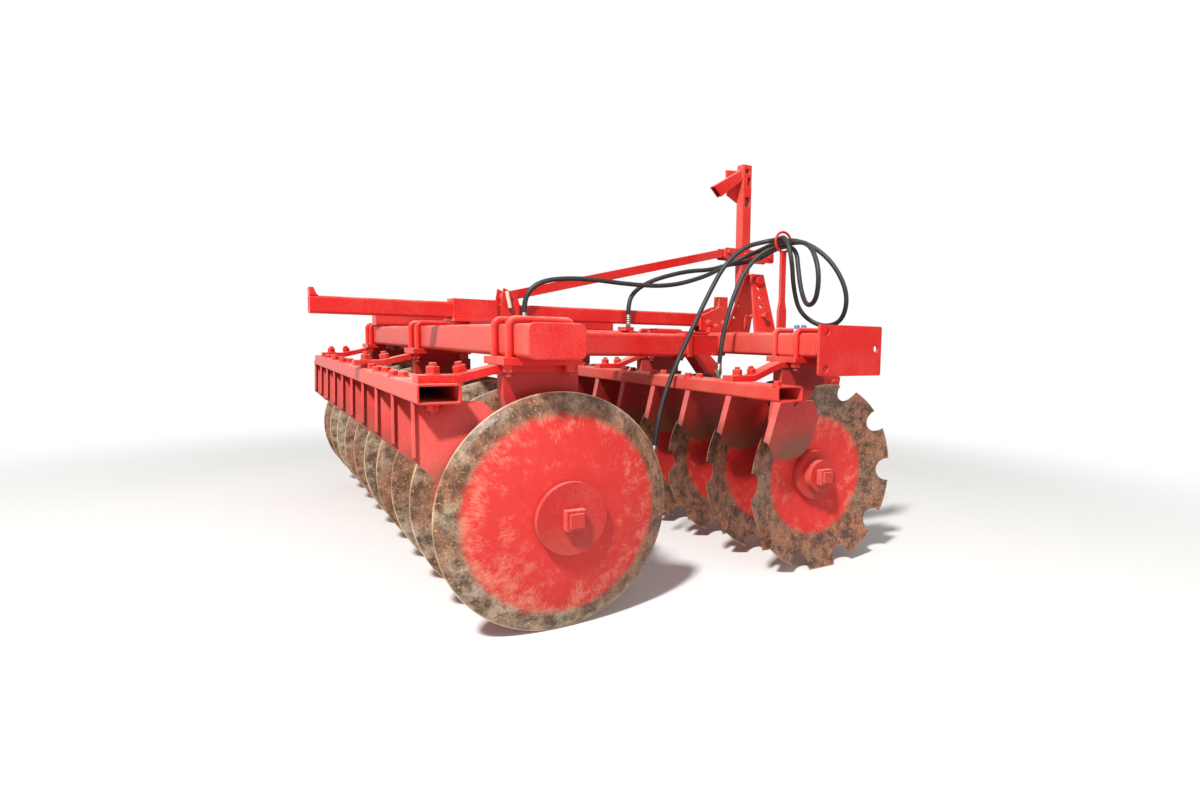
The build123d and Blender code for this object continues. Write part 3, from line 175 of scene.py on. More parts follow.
class Recipe:
    """A material in the making: its shader and the noises, sums and mixes of its layers."""

    def __init__(self, name: str, roughness: float, metallic: float = 0.0, specular: float = 0.5) -> None:
        """Starts the material on Object coordinates.

        Args:
            name: The material's name.
            roughness: The shader's roughness where nothing is linked to it.
            metallic: The shader's metallic value.
            specular: The shader's specular level.
        """
        self.made = bpy.data.materials.new(name)
        self.made.use_nodes = True
        self.tree = self.made.node_tree
        self.shader = self.tree.nodes["Principled BSDF"]
        self.shader.inputs["Roughness"].default_value = roughness
        self.shader.inputs["Metallic"].default_value = metallic
        self.shader.inputs["Specular IOR Level"].default_value = specular
        where = add_node(self.tree, "ShaderNodeTexCoord")
        self.spot = where.outputs["Object"]
        self.facing = where.outputs["Normal"]

    def noise(self, scale: float, detail: float, roughness: float = 0.5, at: Socket | None = None) -> Socket:
        """Adds a noise, on the object's own coordinates where none are given, and returns its value."""
        return add_node(self.tree, "ShaderNodeTexNoise", {
            "Vector": at or self.spot, "Scale": scale, "Detail": detail, "Roughness": roughness
        }).outputs["Fac"]

    def sums(self, operation: str, *terms: Socket | float, clamp: bool = False) -> Socket:
        """Adds one operation on plain values and returns its result."""
        return add_node(self.tree, "ShaderNodeMath", dict(enumerate(terms)), operation=operation,
                        use_clamp=clamp).outputs[0]

    def adding(self, value: Socket, weight: float, base: Socket) -> Socket:
        """Adds a weighted value to another one and returns the sum."""
        return self.sums("MULTIPLY_ADD", value, weight, base)

    def vectors(self, operation: str, *terms: Socket | Row) -> bpy.types.Node:
        """Adds one operation on vectors and returns its node."""
        return add_node(self.tree, "ShaderNodeVectorMath", dict(enumerate(terms)), operation=operation)

    def span(self, value: Socket, low: float, high: float, to_low: float = 0.0, to_high: float = 1.0,
             shape: str = "LINEAR") -> Socket:
        """Maps a value from one range onto another, and no further. A span field holds these four ends."""
        ends = {"Value": value, "From Min": low, "From Max": high, "To Min": to_low, "To Max": to_high}
        return add_node(self.tree, "ShaderNodeMapRange", ends, interpolation_type=shape).outputs[0]

    def mix(self, share: Socket, under: Socket | str, over: Socket | str) -> Socket:
        """Lays one colour over another by a share, each an output or hex digits, and returns the mix."""
        under, over = (linear(one) if isinstance(one, str) else one for one in (under, over))
        return add_node(self.tree, "ShaderNodeMix", {"Factor": share, 6: under, 7: over},
                        data_type="RGBA").outputs[2]

    def feed(self, name: str, value: Socket) -> None:
        """Links a value to the shader's input of that name."""
        self.tree.links.new(value, self.shader.inputs[name])

    def bump(self, height: Socket, strength: float, distance: float, normal: Socket | None = None) -> None:
        """Gives the shader a bump.

        Args:
            height: Value that is raised.
            strength: Strength of the bump.
            distance: Height of the bump in metres.
            normal: Normal that it stands on, where it isn't the surface's own.
        """
        links = {"Height": height, "Strength": strength, "Distance": distance}
        if normal is not None:
            links["Normal"] = normal
        self.feed("Normal", add_node(self.tree, "ShaderNodeBump", links).outputs[0])


@dataclass(frozen=True)
class SunlitAndBleachedEnamel:
    """Alkyd machine enamel, sprayed over steel and left out in the sun.

    Fresh red on faces turned to the side or down; where they look up or rearward they are faded towards salmon
    and painted lighter, as if sunlit.
    Field dust lies in a slow noise, soil is splashed on low pieces, and the edges are painted pale, partly
    paint rubbed thin and partly a painted highlight.
    """

    name: str = "sunlit_and_bleached_red_enamel"
    fresh: str = "C4120F"
    sunlit_faded: str = "D9352B"
    sunlit_chalk: str = "E46A5C"
    dust: str = "D2A698"
    rubbed: str = "7E3A30"
    soil: str = "6A4630"
    roughness: float = 0.42
    specular: float = 0.3
    patch_size_mm: float = 260.0
    fleck_size_mm: float = 7.0
    grain_size_mm: float = 2.5
    bump_mm: float = 0.5
    # How strongly a face that looks rearward or up has faded and is painted lighter, as if sunlit, and how much
    # the patches add
    rear_fade_and_sunlight: float = 0.62
    sky_fade_and_sunlight: float = 0.7
    patch_fade: float = 0.42
    # Where the fade and painted sunlight are fresh, faded and chalky
    fade_and_sunlight_stops: Row = (0.16, 0.66, 1.02)
    film_span: Row = (0.7, 1.0, 0.0, 0.22)
    settle_span: Row = (0.3, 0.95, 0.4, 3.6)
    chip_span: Row = (0.64, 0.72, 0.0, 0.5)
    # Edges painted pale: partly paint rubbed thin, partly a painted highlight
    edge_radius: float = 0.003
    rub_and_highlight_span: Row = (0.985, 0.86, 0.0, 0.6)
    soil_top: float = 0.0
    soil_fade: float = 0.12
    soil_ragged: float = 0.22
    soil_share: float = 0.82

    def build(self) -> Material:
        """Makes the material.

        Returns:
            The enamel.
        """
        enamel = Recipe(self.name, self.roughness, specular=self.specular)
        patches = enamel.noise(1000 / self.patch_size_mm, 6.0, 0.6)
        flecks = enamel.noise(1000 / self.fleck_size_mm, 4.0)
        grain = enamel.noise(1000 / self.grain_size_mm, 2.0)
        facing = add_node(enamel.tree, "ShaderNodeSeparateXYZ", {0: enamel.facing})
        # Painted sunlight: faces that look rearward or up are painted lighter, partly real sun fade and partly
        # the light that falls on them
        rear = enamel.sums("MULTIPLY", facing.outputs["Y"], -self.rear_fade_and_sunlight)
        sky = enamel.sums("MULTIPLY", facing.outputs["Z"], self.sky_fade_and_sunlight)
        lit = enamel.sums("MAXIMUM", enamel.sums("MAXIMUM", rear, sky), 0.0)
        fade_and_sunlight = enamel.adding(patches, self.patch_fade, lit)
        ramp = add_node(enamel.tree, "ShaderNodeValToRGB", {"Fac": fade_and_sunlight})
        first, last = ramp.color_ramp.elements
        first.position, middle, last.position = self.fade_and_sunlight_stops
        first.color, last.color = linear(self.fresh), linear(self.sunlit_chalk)
        ramp.color_ramp.elements.new(middle).color = linear(self.sunlit_faded)
        # Dust film: thickest where the surface looks up, broken by both noises
        film = enamel.span(enamel.adding(flecks, 0.6, patches), *self.film_span)
        settle = enamel.span(facing.outputs["Z"], *self.settle_span)
        film_here = enamel.sums("MULTIPLY", film, settle, clamp=True)
        dusty = enamel.mix(film_here, ramp.outputs["Color"], self.dust)
        # Chips and flecks of soil a few millimetres across
        flecked = enamel.mix(enamel.span(flecks, *self.chip_span), dusty, self.rubbed)
        # Soil splashed on pieces near the ground
        height = add_node(enamel.tree, "ShaderNodeSeparateXYZ", {0: enamel.spot}).outputs["Z"]
        ragged = enamel.adding(patches, self.soil_ragged, height)
        soil_top = self.soil_top + self.soil_ragged / 2
        splash = enamel.span(ragged, soil_top, soil_top - self.soil_fade, 0.0, self.soil_share)
        soiled = enamel.mix(splash, flecked, self.soil)
        # Edges: the rounded normal leaves the flat one there; there the colour is painted pale, partly paint
        # rubbed thin and partly a painted highlight
        round_edge = add_node(enamel.tree, "ShaderNodeBevel", {"Radius": self.edge_radius}, samples=4)
        shape = add_node(enamel.tree, "ShaderNodeNewGeometry")
        alike = enamel.vectors("DOT_PRODUCT", round_edge.outputs[0], shape.outputs["True Normal"])
        rub_and_highlight = enamel.span(alike.outputs["Value"], *self.rub_and_highlight_span)
        enamel.feed("Base Color", enamel.mix(enamel.sums("MULTIPLY", rub_and_highlight, flecks), soiled, self.sunlit_chalk))
        rough = enamel.span(patches, 0.3, 0.7, self.roughness - 0.06, self.roughness + 0.16)
        enamel.feed("Roughness", rough)
        enamel.bump(grain, 0.25, self.bump_mm / 1000, round_edge.outputs[0])
        return enamel.made


@dataclass(frozen=True)
class SoilPolishedDisc:
    """Boron disc steel: red paint worn off by soil from the rim inwards, scuffed along the radius.

    The inner part keeps its paint under tan scratches, the outer band is brown steel with a soil film and
    dark scores, and the ground edge is pale.
    """

    name: str
    axle_y: float
    worn_from: float
    paint: str = "CE322C"
    paint_deep: str = "B0201C"
    scuff: str = "CF9A7E"
    band: str = "8C5F47"
    band_grey: str = "A08C77"
    band_dark: str = "412C1D"
    glint: str = "D9A765"
    rim: str = "D0B890"
    rim_share: float = 0.8
    roughness: float = 0.5
    specular: float = 0.35
    # Streaks: width on the rim and length along the radius
    streak_mm: float = 6.0
    streak_length_mm: float = 15.0
    mottle_scale: float = 24.0
    cloud_scale: float = 4.5
    score_scale: float = 150.0
    scuff_span: Row = (1.26, 1.60, 0.0, 0.6)
    grey_span: Row = (0.44, 0.58)
    film_span: Row = (0.58, 0.40, 0.0, 0.9)
    score_span: Row = (0.53, 0.64, 0.0, 0.55)
    glint_span: Row = (0.42, 0.34, 0.0, 0.6)
    rim_from: float = 0.989
    rim_to: float = 0.996
    rim_cloud_span: Row = (0.42, 0.56, 0.3, 1.0)

    def build(self) -> Material:
        """Makes the material, with the radius taken about the gang's axle.

        Returns:
            The disc finish.
        """
        steel = Recipe(self.name, self.roughness, specular=self.specular)
        axle = (0.0, -self.axle_y, -AXLE_Z)
        centred = add_node(steel.tree, "ShaderNodeMapping", {"Vector": steel.spot, "Location": axle})
        flat = steel.vectors("MULTIPLY", centred.outputs[0], (0.0, 1.0, 1.0)).outputs[0]
        share = steel.sums("DIVIDE", steel.vectors("LENGTH", flat).outputs["Value"], DISC_R)
        # Direction from the axle times a large number, plus the place times a small one
        turns = 1000 * DISC_R / self.streak_mm
        stretch = 1000 / self.streak_length_mm
        way = steel.vectors("NORMALIZE", flat).outputs[0]
        spread = steel.vectors("MULTIPLY", centred.outputs[0], (2.0, stretch, stretch)).outputs[0]
        ray = steel.vectors("MULTIPLY_ADD", way, (turns, turns, turns), spread).outputs[0]
        streaks = steel.noise(1.0, 3.0, 0.65, ray)
        mottle = steel.noise(self.mottle_scale, 7.0, 0.66)
        clouds = steel.noise(self.cloud_scale, 3.0)
        edge = steel.adding(mottle, 0.09, share)
        ragged = steel.adding(streaks, 0.07, edge)
        wear = steel.span(ragged, self.worn_from + 0.05, self.worn_from + 0.11)
        # Scuffs get denser towards the rim and in the clouds
        worked = steel.adding(share, 0.45, mottle)
        dense = steel.adding(streaks, 0.62, worked)
        scuffs = steel.span(steel.adding(clouds, 0.36, dense), *self.scuff_span)
        painted = steel.mix(scuffs, steel.mix(mottle, self.paint_deep, self.paint), self.scuff)
        # Bare band: brown and grey-tan in clouds, dark where soil sticks, scored, with pale glints
        ground = steel.mix(steel.span(clouds, *self.grey_span), self.band, self.band_grey)
        filmed = steel.mix(steel.span(mottle, *self.film_span), ground, self.band_dark)
        fine = steel.noise(self.score_scale, 4.0, 0.7)
        scored = steel.mix(steel.span(fine, *self.score_span), filmed, self.band_dark)
        glinting = steel.mix(steel.span(fine, *self.glint_span), scored, self.glint)
        worn = steel.mix(wear, painted, glinting)
        rim = steel.span(share, self.rim_from, self.rim_to, 0.0, self.rim_share)
        rim_here = steel.sums("MULTIPLY", rim, steel.span(clouds, *self.rim_cloud_span))
        steel.feed("Base Color", steel.mix(rim_here, worn, self.rim))
        steel.feed("Roughness", steel.span(wear, 0.0, 1.0, self.roughness + 0.08, self.roughness - 0.1))
        steel.bump(streaks, 0.15, 0.001)
        return steel.made


@dataclass(frozen=True)
class PlainSteel:
    """Steel without paint: rolled, plated or ground, with a broken film of rust or dust."""

    name: str
    bright: str
    film: str
    film_share: float = 0.5
    roughness: float = 0.35
    metallic: float = 1.0
    film_size_mm: float = 14.0
    grain_size_mm: float = 1.5

    def build(self) -> Material:
        """Makes the material.

        Returns:
            The steel.
        """
        steel = Recipe(self.name, self.roughness, self.metallic)
        spots = steel.noise(1000 / self.film_size_mm, 6.0)
        grain = steel.noise(1000 / self.grain_size_mm, 2.0)
        lower = 0.36 * self.film_share
        cover = steel.span(spots, 0.68 - lower, 0.82 - lower)
        steel.feed("Base Color", steel.mix(cover, self.bright, self.film))
        steel.feed("Roughness", steel.span(cover, 0.0, 1.0, self.roughness, min(1.0, self.roughness + 0.35)))
        steel.bump(grain, 0.2, 0.0004)
        return steel.made


@dataclass(frozen=True)
class HoseRubber:
    """Extruded nitrile hose cover, black, with the print of its cloth wrap and a film of field dust."""

    name: str = "black_hose_rubber"
    black: str = "17171A"
    dust: str = "57504A"
    roughness: float = 0.52
    dust_scale: float = 18.0
    # The cloth print is drawn at 3 mm, coarser than the real 1 mm, so that it shows
    wrap_mm: float = 3.0

    def build(self) -> Material:
        """Makes the material.

        Returns:
            The rubber.
        """
        rubber = Recipe(self.name, self.roughness)
        film = rubber.noise(self.dust_scale, 6.0)
        wrap = rubber.noise(1000 / self.wrap_mm, 1.0)
        rubber.feed("Base Color", rubber.mix(rubber.span(film, 0.45, 0.8, 0.0, 0.25), self.black, self.dust))
        rubber.bump(wrap, 0.3, 0.0004)
        return rubber.made


@dataclass(frozen=True)
class MouldedPlastic:
    """Injection-moulded polythene, a little dusty and scuffed dull by handling."""

    name: str
    colour: str
    dust: str = "9C9084"
    roughness: float = 0.45
    scuff_size_mm: float = 5.0

    def build(self) -> Material:
        """Makes the material.

        Returns:
            The plastic.
        """
        plastic = Recipe(self.name, self.roughness)
        scuffs = plastic.noise(1000 / self.scuff_size_mm, 4.0)
        dull = plastic.span(scuffs, 0.5, 0.75, 0.0, 0.45)
        plastic.feed("Base Color", plastic.mix(dull, self.colour, self.dust))
        plastic.feed("Roughness", plastic.span(scuffs, 0.0, 1.0, 0.35, 0.65))
        return plastic.made


@dataclass(frozen=True)
class PhotoCamera:
    """The camera that took the photograph, in the machine's frame."""

    frame_width: int = 1200
    frame_height: int = 800
    focal_px: float = 701.46
    centre_px: Row = (728.36, 402.92)
    yaw_deg: float = 35.382
    pitch_deg: float = 5.073
    roll_deg: float = 1.21
    beside_near_rim: float = 1.8059
    behind_rear_axle: float = 0.7209
    height: float = 0.8058
    sensor_mm: float = 36.0

    def build(self) -> None:
        """Places the scene's camera by its yaw from -X towards +Y, its pitch down and its roll."""
        yaw, pitch, roll = (math.radians(a) for a in (self.yaw_deg, self.pitch_deg, self.roll_deg))
        level = Vector((-math.cos(yaw), math.sin(yaw), 0.0))
        right = Vector((math.sin(yaw), math.cos(yaw), 0.0))
        look = level * math.cos(pitch) - Vector((0, 0, math.sin(pitch)))
        over = level * math.sin(pitch) + Vector((0, 0, math.cos(pitch)))
        turned_right = right * math.cos(roll) + over * math.sin(roll)
        above = over * math.cos(roll) - right * math.sin(roll)
        data = bpy.data.cameras.new("photo_camera")
        data.sensor_width = self.sensor_mm
        data.lens = self.focal_px * self.sensor_mm / self.frame_width
        data.shift_x = (self.frame_width / 2 - self.centre_px[0]) / self.frame_width
        data.shift_y = (self.centre_px[1] - self.frame_height / 2) / self.frame_width
        data.clip_start = 0.05
        made = put("photo_camera", data)
        place = Vector((NEAR_RIM_X + self.beside_near_rim, REAR_AXLE_Y - self.behind_rear_axle, self.height))
        turn = Matrix((turned_right, above, -look)).transposed().to_4x4()
        made.matrix_world = Matrix.Translation(place) @ turn
        bpy.context.scene.camera = made


@dataclass(frozen=True)
class Studio:
    """Pale floor that turns white away from the machine, white surroundings and soft lamps."""

    floor_size: float = 60.0
    floor_colour: str = "E9E8E5"
    floor_roughness: float = 0.9
    white_from: float = 2.2
    white_to: float = 4.2
    sky_strength: float = 0.31
    lamps_look_at: Row = (0.2, 0.0, 0.5)
    # Lamps: name, place, power in watts, width
    lamps: tuple[tuple[str, Row, float, float], ...] = (
        ("sun_side", (4.7, -4.6, 7.2), 1120.0, 0.8),
        ("sky_fill", (6.2, 0.2, 3.0), 60.0, 4.0),
    )

    def floor_finish(self) -> Material:
        """Makes the matt floor paint, seen as white beyond the machine's shadow.

        Returns:
            The floor's material.
        """
        paint = Recipe("pale_studio_floor", self.floor_roughness)
        paint.shader.inputs["Base Color"].default_value = linear(self.floor_colour)
        out = paint.vectors("LENGTH", paint.spot).outputs["Value"]
        far = paint.span(out, self.white_from, self.white_to, shape="SMOOTHSTEP")
        share = paint.sums("MULTIPLY", far, seen_directly(paint.tree))
        show_white(paint.tree, share, paint.shader.outputs[0], "ShaderNodeEmission", "Material Output")
        return paint.made

    def world(self) -> None:
        """Makes a pale sky that lights the machine and is seen as plain white."""
        world = bpy.data.worlds.new("studio")
        bpy.context.scene.world = world
        world.use_nodes = True
        tree = world.node_tree
        sky = tree.nodes["Background"]
        sky.inputs["Color"].default_value = WHITE
        sky.inputs["Strength"].default_value = self.sky_strength
        show_white(tree, seen_directly(tree), sky.outputs[0], "ShaderNodeBackground", "World Output")

    def build(self) -> None:
        """Makes the floor, the world and the lamps."""
        mesh = bpy.data.meshes.new("floor")
        half = self.floor_size / 2
        ends = [(-half, -half, 0), (half, -half, 0), (half, half, 0), (-half, half, 0)]
        mesh.from_pydata(ends, [], [(0, 1, 2, 3)])
        mesh.materials.append(self.floor_finish())
        floor = put("floor", mesh)
        self.world()
        for name, place, power, width in self.lamps:
            lamp = bpy.data.lights.new(name, "AREA")
            lamp.energy = power
            lamp.size = width
            aim = (Vector(self.lamps_look_at) - Vector(place)).to_track_quat("-Z", "Y").to_matrix().to_4x4()
            put(name, lamp).matrix_world = Matrix.Translation(place) @ aim


@dataclass
class Surfaces:
    """Closed surfaces gathered into one mesh."""

    points: list[np.ndarray] = field(default_factory=list)
    faces: list[list[int]] = field(default_factory=list)
    count: int = 0

    def rings(self, grid: np.ndarray) -> None:
        """Adds one closed surface: quads between neighbouring rings and a face on each end ring.

        Args:
            grid: Points by ring, place on the ring and coordinate.
        """
        index = np.arange(grid.shape[0] * grid.shape[1]).reshape(grid.shape[:2]) + self.count
        beside = np.roll(index, -1, axis=1)
        quads = np.stack([index[:-1], beside[:-1], beside[1:], index[1:]], axis=-1).reshape(-1, 4)
        self.points.append(grid.reshape(-1, 3))
        self.faces += quads.tolist() + [index[0][::-1].tolist(), index[-1].tolist()]
        self.count += index.size

    def turned(self, profile: np.ndarray | Rows, foot: Row, axis: Row, sides: int = 24,
               phase: float = 0.0) -> None:
        """Adds a turned solid: foot, plus height along the axis, plus radius times the unit circle across.

        Args:
            profile: Rows of height and radius, in the order of height.
            foot: Where height is zero.
            axis: Direction of the axis.
            sides: Points on the circle.
            phase: Turn of the first point, in radians.
        """
        heights, radii = np.array(profile, float).T
        along = np.array(axis, float)
        along = along / np.linalg.norm(along)
        steep = abs(along[2]) >= 0.9
        across = np.cross(along, (1.0, 0.0, 0.0) if steep else (0.0, 0.0, 1.0))
        across = across / np.linalg.norm(across)
        third = np.cross(along, across)
        angle = phase + 2 * np.pi * np.arange(sides) / sides
        circle = np.cos(angle)[:, None] * across + np.sin(angle)[:, None] * third
        self.rings(np.array(foot, float) + heights[:, None, None] * along
                   + radii[:, None, None] * circle[None])

    def bead(self, start: Row, end: Row, radius: float, pitch: float = 0.006) -> None:
        """Adds a weld bead: a tube that swells by a sine once each pitch and closes steeply at both ends.

        Args:
            start: One end of the line.
            end: The other end.
            radius: Mean radius of the bead.
            pitch: Length of one ripple.
        """
        line = np.subtract(end, start)
        length = float(np.linalg.norm(line))
        steps = int(np.clip(4 * length / pitch, 10, 160))
        share = np.linspace(0.0, 1.0, steps)
        closing = np.sqrt(np.clip(1 - (2 * share - 1) ** 20, 0.004, 1.0))
        ripple = 1 + 0.13 * np.sin(2 * np.pi * share * length / pitch)
        wander = 0.05 * np.sin(9.1 * share + start[0] * 40)
        profile = np.column_stack((share * length, radius * (ripple + wander) * closing))
        self.turned(profile, start, tuple(line), sides=8)

    def block(self, low: Row, high: Row, chamfer: float = 0.001) -> None:
        """Adds a plate with chamfered edges: four rectangles one above the other, the outer two drawn in.

        Args:
            low: Lowest corner.
            high: Highest corner.
            chamfer: Width of the chamfer.
        """
        size = np.subtract(high, low)
        heights = low[2] + np.array((0.0, chamfer, size[2] - chamfer, size[2]))
        insets = np.array((chamfer, 0.0, 0.0, chamfer))
        signs = np.array(((-1, -1), (1, -1), (1, 1), (-1, 1)), dtype=float)
        reach = size[:2] / 2 - insets[:, None]
        flat = signs[None] * reach[:, None] + np.add(low, high)[:2] / 2
        self.rings(np.concatenate((flat, np.broadcast_to(heights[:, None, None], (4, 4, 1))), axis=2))

    def seams(self, table: Seams) -> "Surfaces":
        """Adds beads.

        Args:
            table: The beads.

        Returns:
            The surfaces.
        """
        for xs, y, z, axis, end, radius in table:
            for x in xs:
                stop = {"x": x, "y": y, "z": z, axis: end}
                self.bead((x, y, z), tuple(stop.values()), radius)
        return self

    def blocks(self, corners: Plates) -> "Surfaces":
        """Adds a plate for each pair of a low and a high corner and returns the surfaces."""
        for low, high in corners:
            self.block(low, high)
        return self

    def finished(self, name: str, body: Body, finish: Material, slot: str = "red_enamel") -> Piece:
        """Makes the object.

        Args:
            name: The piece's name.
            body: What it rides on.
            finish: Its material.
            slot: The record's material slot; not used.

        Returns:
            The piece, at the origin.
        """
        mesh = bpy.data.meshes.new(name)
        mesh.from_pydata(np.concatenate(self.points).tolist(), [], self.faces)
        mesh.materials.append(finish)
        mesh.shade_smooth()
        mesh.set_sharp_from_angle(angle=math.radians(SMOOTH_DEG))
        made = put(name, mesh)
        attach(made, body.value)
        LOG.info("%s: %d faces on %s", name, len(mesh.polygons), body.value)
        return made


@dataclass(frozen=True)
class HexBolt:
    """Hexagon head or nut on a washer, with the thread's end standing out of a nut."""

    across: float = 0.024
    head: float = 0.014
    washer_r: float = 0.0165
    washer: float = 0.003
    washer_bevel: float = 0.0006
    # Depth that the washer and the hexagon are sunk into what carries them
    washer_sink: float = 0.0005
    head_sink: float = 0.0003
    thread_r: float = 0.008
    thread: float = 0.0
    thread_depth: float = 0.0009
    pitch: float = 0.002

    def add(self, to: Surfaces, foot: Row, way: Row, phase: float = 0.3) -> None:
        """Adds the washer, the chamfered hexagon and the thread.

        Args:
            to: The surfaces that get it.
            foot: Middle of the washer's foot.
            way: Direction away from what it holds.
            phase: Turn of the hexagon.
        """
        top = self.washer + self.head
        corner = self.across / math.sqrt(3)
        rim = self.washer_r
        washer = ((-self.washer_sink, rim), (self.washer * 0.8, rim), (self.washer, rim - self.washer_bevel))
        head = ((self.washer - self.head_sink, corner * 0.94), (self.washer + 0.001, corner),
                (top - 0.0018, corner), (top, corner * 0.86))
        to.turned(washer, foot, way)
        to.turned(head, foot, way, 6, phase)
        if self.thread:
            steps = np.arange(int(self.thread / self.pitch * 2) + 1)
            heights = top - 0.001 + steps * self.pitch / 2
            radii = self.thread_r - self.thread_depth * (steps % 2)
            radii[-1] = self.thread_r * 0.8
            to.turned(np.column_stack((heights, radii)), foot, way, 16)


@dataclass(frozen=True)
class HydraulicHose:
    """One hose: its free route, the crimped fitting at the cylinder and the coupler at its free end."""

    name: str
    route: Rows
    rubber: Material
    steel: Material
    length: float
    coupler_length: float
    port_z: float = 0.852
    diameter: float = 0.018
    hexagon_r: float = 0.01154
    hexagon_height: float = 0.016
    ferrule_r: float = 0.011
    crimp_depth: float = 0.0011
    coupler_r: float = 0.014

    def tube(self) -> Piece:
        """Makes the hose as a NURBS curve on its route.

        Returns:
            The hose.
        """
        data = bpy.data.curves.new(self.name + "_cover", "CURVE")
        data.dimensions = "3D"
        data.bevel_depth = self.diameter / 2
        data.bevel_resolution = 5
        data.resolution_u = 10
        data.use_fill_caps = True
        line = data.splines.new("NURBS")
        line.points.add(len(self.route) - 1)
        line.points.foreach_set("co", np.column_stack((self.route, np.ones(len(self.route)))).ravel())
        line.order_u = 3
        line.use_endpoint_u = True
        data.materials.append(self.rubber)
        made = put(self.name + "_cover", data)
        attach(made, Body.FRAME.value)
        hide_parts(self.name)
        return made

    def crimped(self, start: float, end: float, waves: int) -> np.ndarray:
        """Profile of a crimped sleeve: grooves pressed in by a squared sine between two plain ends.

        Args:
            start: Height where it begins.
            end: Height where it ends.
            waves: Number of grooves.

        Returns:
            Rows of height and radius.
        """
        share = np.linspace(0.0, 1.0, waves * 6 + 1)
        pressed = self.crimp_depth * np.sin(np.pi * waves * share) ** 2
        ends = np.where((share < 0.001) | (share > 0.999), 0.0008, 0.0)
        return np.column_stack((start + share * (end - start), self.ferrule_r - pressed - ends))

    def fitting(self) -> Piece:
        """Makes the hexagon and the crimped sleeve that join the hose to its port.

        Returns:
            The fitting, on the barrel.
        """
        made = Surfaces()
        foot = (*self.route[0][:2], self.port_z)
        top = self.route[0][2] - self.port_z
        high = self.hexagon_height
        hexagon = ((0.0, 0.9), (0.001, 1.0), (high - 0.0015, 1.0), (high, 0.9))
        made.turned(np.array(hexagon) * (1.0, self.hexagon_r), foot, Way.UP.value, 6)
        made.turned(self.crimped(high - 0.0005, top, 4), foot, Way.UP.value)
        piece = made.finished(self.name + "_crimped_end", Body.BARREL, self.steel, "bare_steel")
        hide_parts(self.name + "_fitting")
        return piece

    def coupler(self) -> Piece:
        """Makes the quick coupler in line with the hose's last run.

        Returns:
            The coupler, on the frame.
        """
        made = Surfaces()
        foot = self.route[-1]
        way = tuple(np.subtract(self.route[-1], self.route[-2]))
        whole = self.coupler_length
        made.turned(self.crimped(0.0, whole * 0.45, 5), foot, way)
        body = ((0.445, 0.92), (0.46, 1.0), (0.68, 1.0), (0.70, 0.92))
        made.turned(np.array(body) * (whole, self.coupler_r), foot, way, 6)
        nose = ((0.695, 0.98), (0.76, 0.98), (0.77, 0.84), (0.82, 0.84), (0.83, 0.98), (0.95, 0.98),
                (1.0, 0.8))
        made.turned(np.array(nose) * (whole, self.ferrule_r), foot, way)
        piece = made.finished(self.name + "_quick_coupler", Body.FRAME, self.steel, "bare_steel")
        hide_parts(self.name + "_coupler")
        return piece

    def build(self) -> None:
        pieces = [self.fitting(), self.coupler()]
        hose = self.tube()
        LOG.info("%s: %.2f m", hose.name, self.length)


LONG_ROUTE = (
    (0.475, -0.262, 0.892), (0.475, -0.262, 0.947), (0.482, -0.225, 0.996), (0.488, -0.158, 1.021),
    (0.493, -0.028, 1.031), (0.497, 0.156, 1.019), (0.499, 0.336, 1.022), (0.501, 0.506, 1.072),
    (0.501, 0.616, 1.128), (0.525, 0.690, 1.168), (0.593, 0.723, 1.192), (0.745, 0.692, 1.210),
    (0.870, 0.686, 1.209), (0.970, 0.712, 1.170), (1.050, 0.744, 1.093), (1.093, 0.771, 0.985),
    (1.055, 0.780, 0.884), (0.957, 0.760, 0.866), (0.895, 0.701, 0.920), (0.913, 0.650, 1.018),
    (0.937, 0.620, 1.112), (0.915, 0.618, 1.180), (0.859, 0.640, 1.217), (0.803, 0.663, 1.214),
    (0.747, 0.636, 1.208), (0.723, 0.551, 1.182), (0.703, 0.469, 1.108), (0.694, 0.400, 0.985),
    (0.691, 0.331, 0.852), (0.685, 0.265, 0.718), (0.681, 0.213, 0.590), (0.689, 0.180, 0.478),
    (0.691, 0.168, 0.400),
)
SHORT_ROUTE = (
    (0.475, 0.162, 0.900), (0.475, 0.162, 0.950), (0.465, 0.192, 0.994), (0.463, 0.248, 1.032),
    (0.463, 0.336, 1.066), (0.463, 0.456, 1.097), (0.465, 0.561, 1.108), (0.477, 0.642, 1.136),
    (0.517, 0.714, 1.148), (0.603, 0.741, 1.166), (0.735, 0.698, 1.184), (0.835, 0.684, 1.188),
    (0.890, 0.682, 1.160), (0.915, 0.671, 1.090), (0.960, 0.650, 1.000), (1.025, 0.624, 0.938),
    (1.110, 0.593, 0.955), (1.141, 0.576, 1.045), (1.095, 0.591, 1.130), (1.010, 0.624, 1.178),
    (0.900, 0.657, 1.191), (0.795, 0.664, 1.188), (0.745, 0.616, 1.160), (0.729, 0.553, 1.090),
    (0.727, 0.501, 0.990), (0.726, 0.466, 0.885), (0.723, 0.446, 0.790), (0.725, 0.438, 0.715),
)


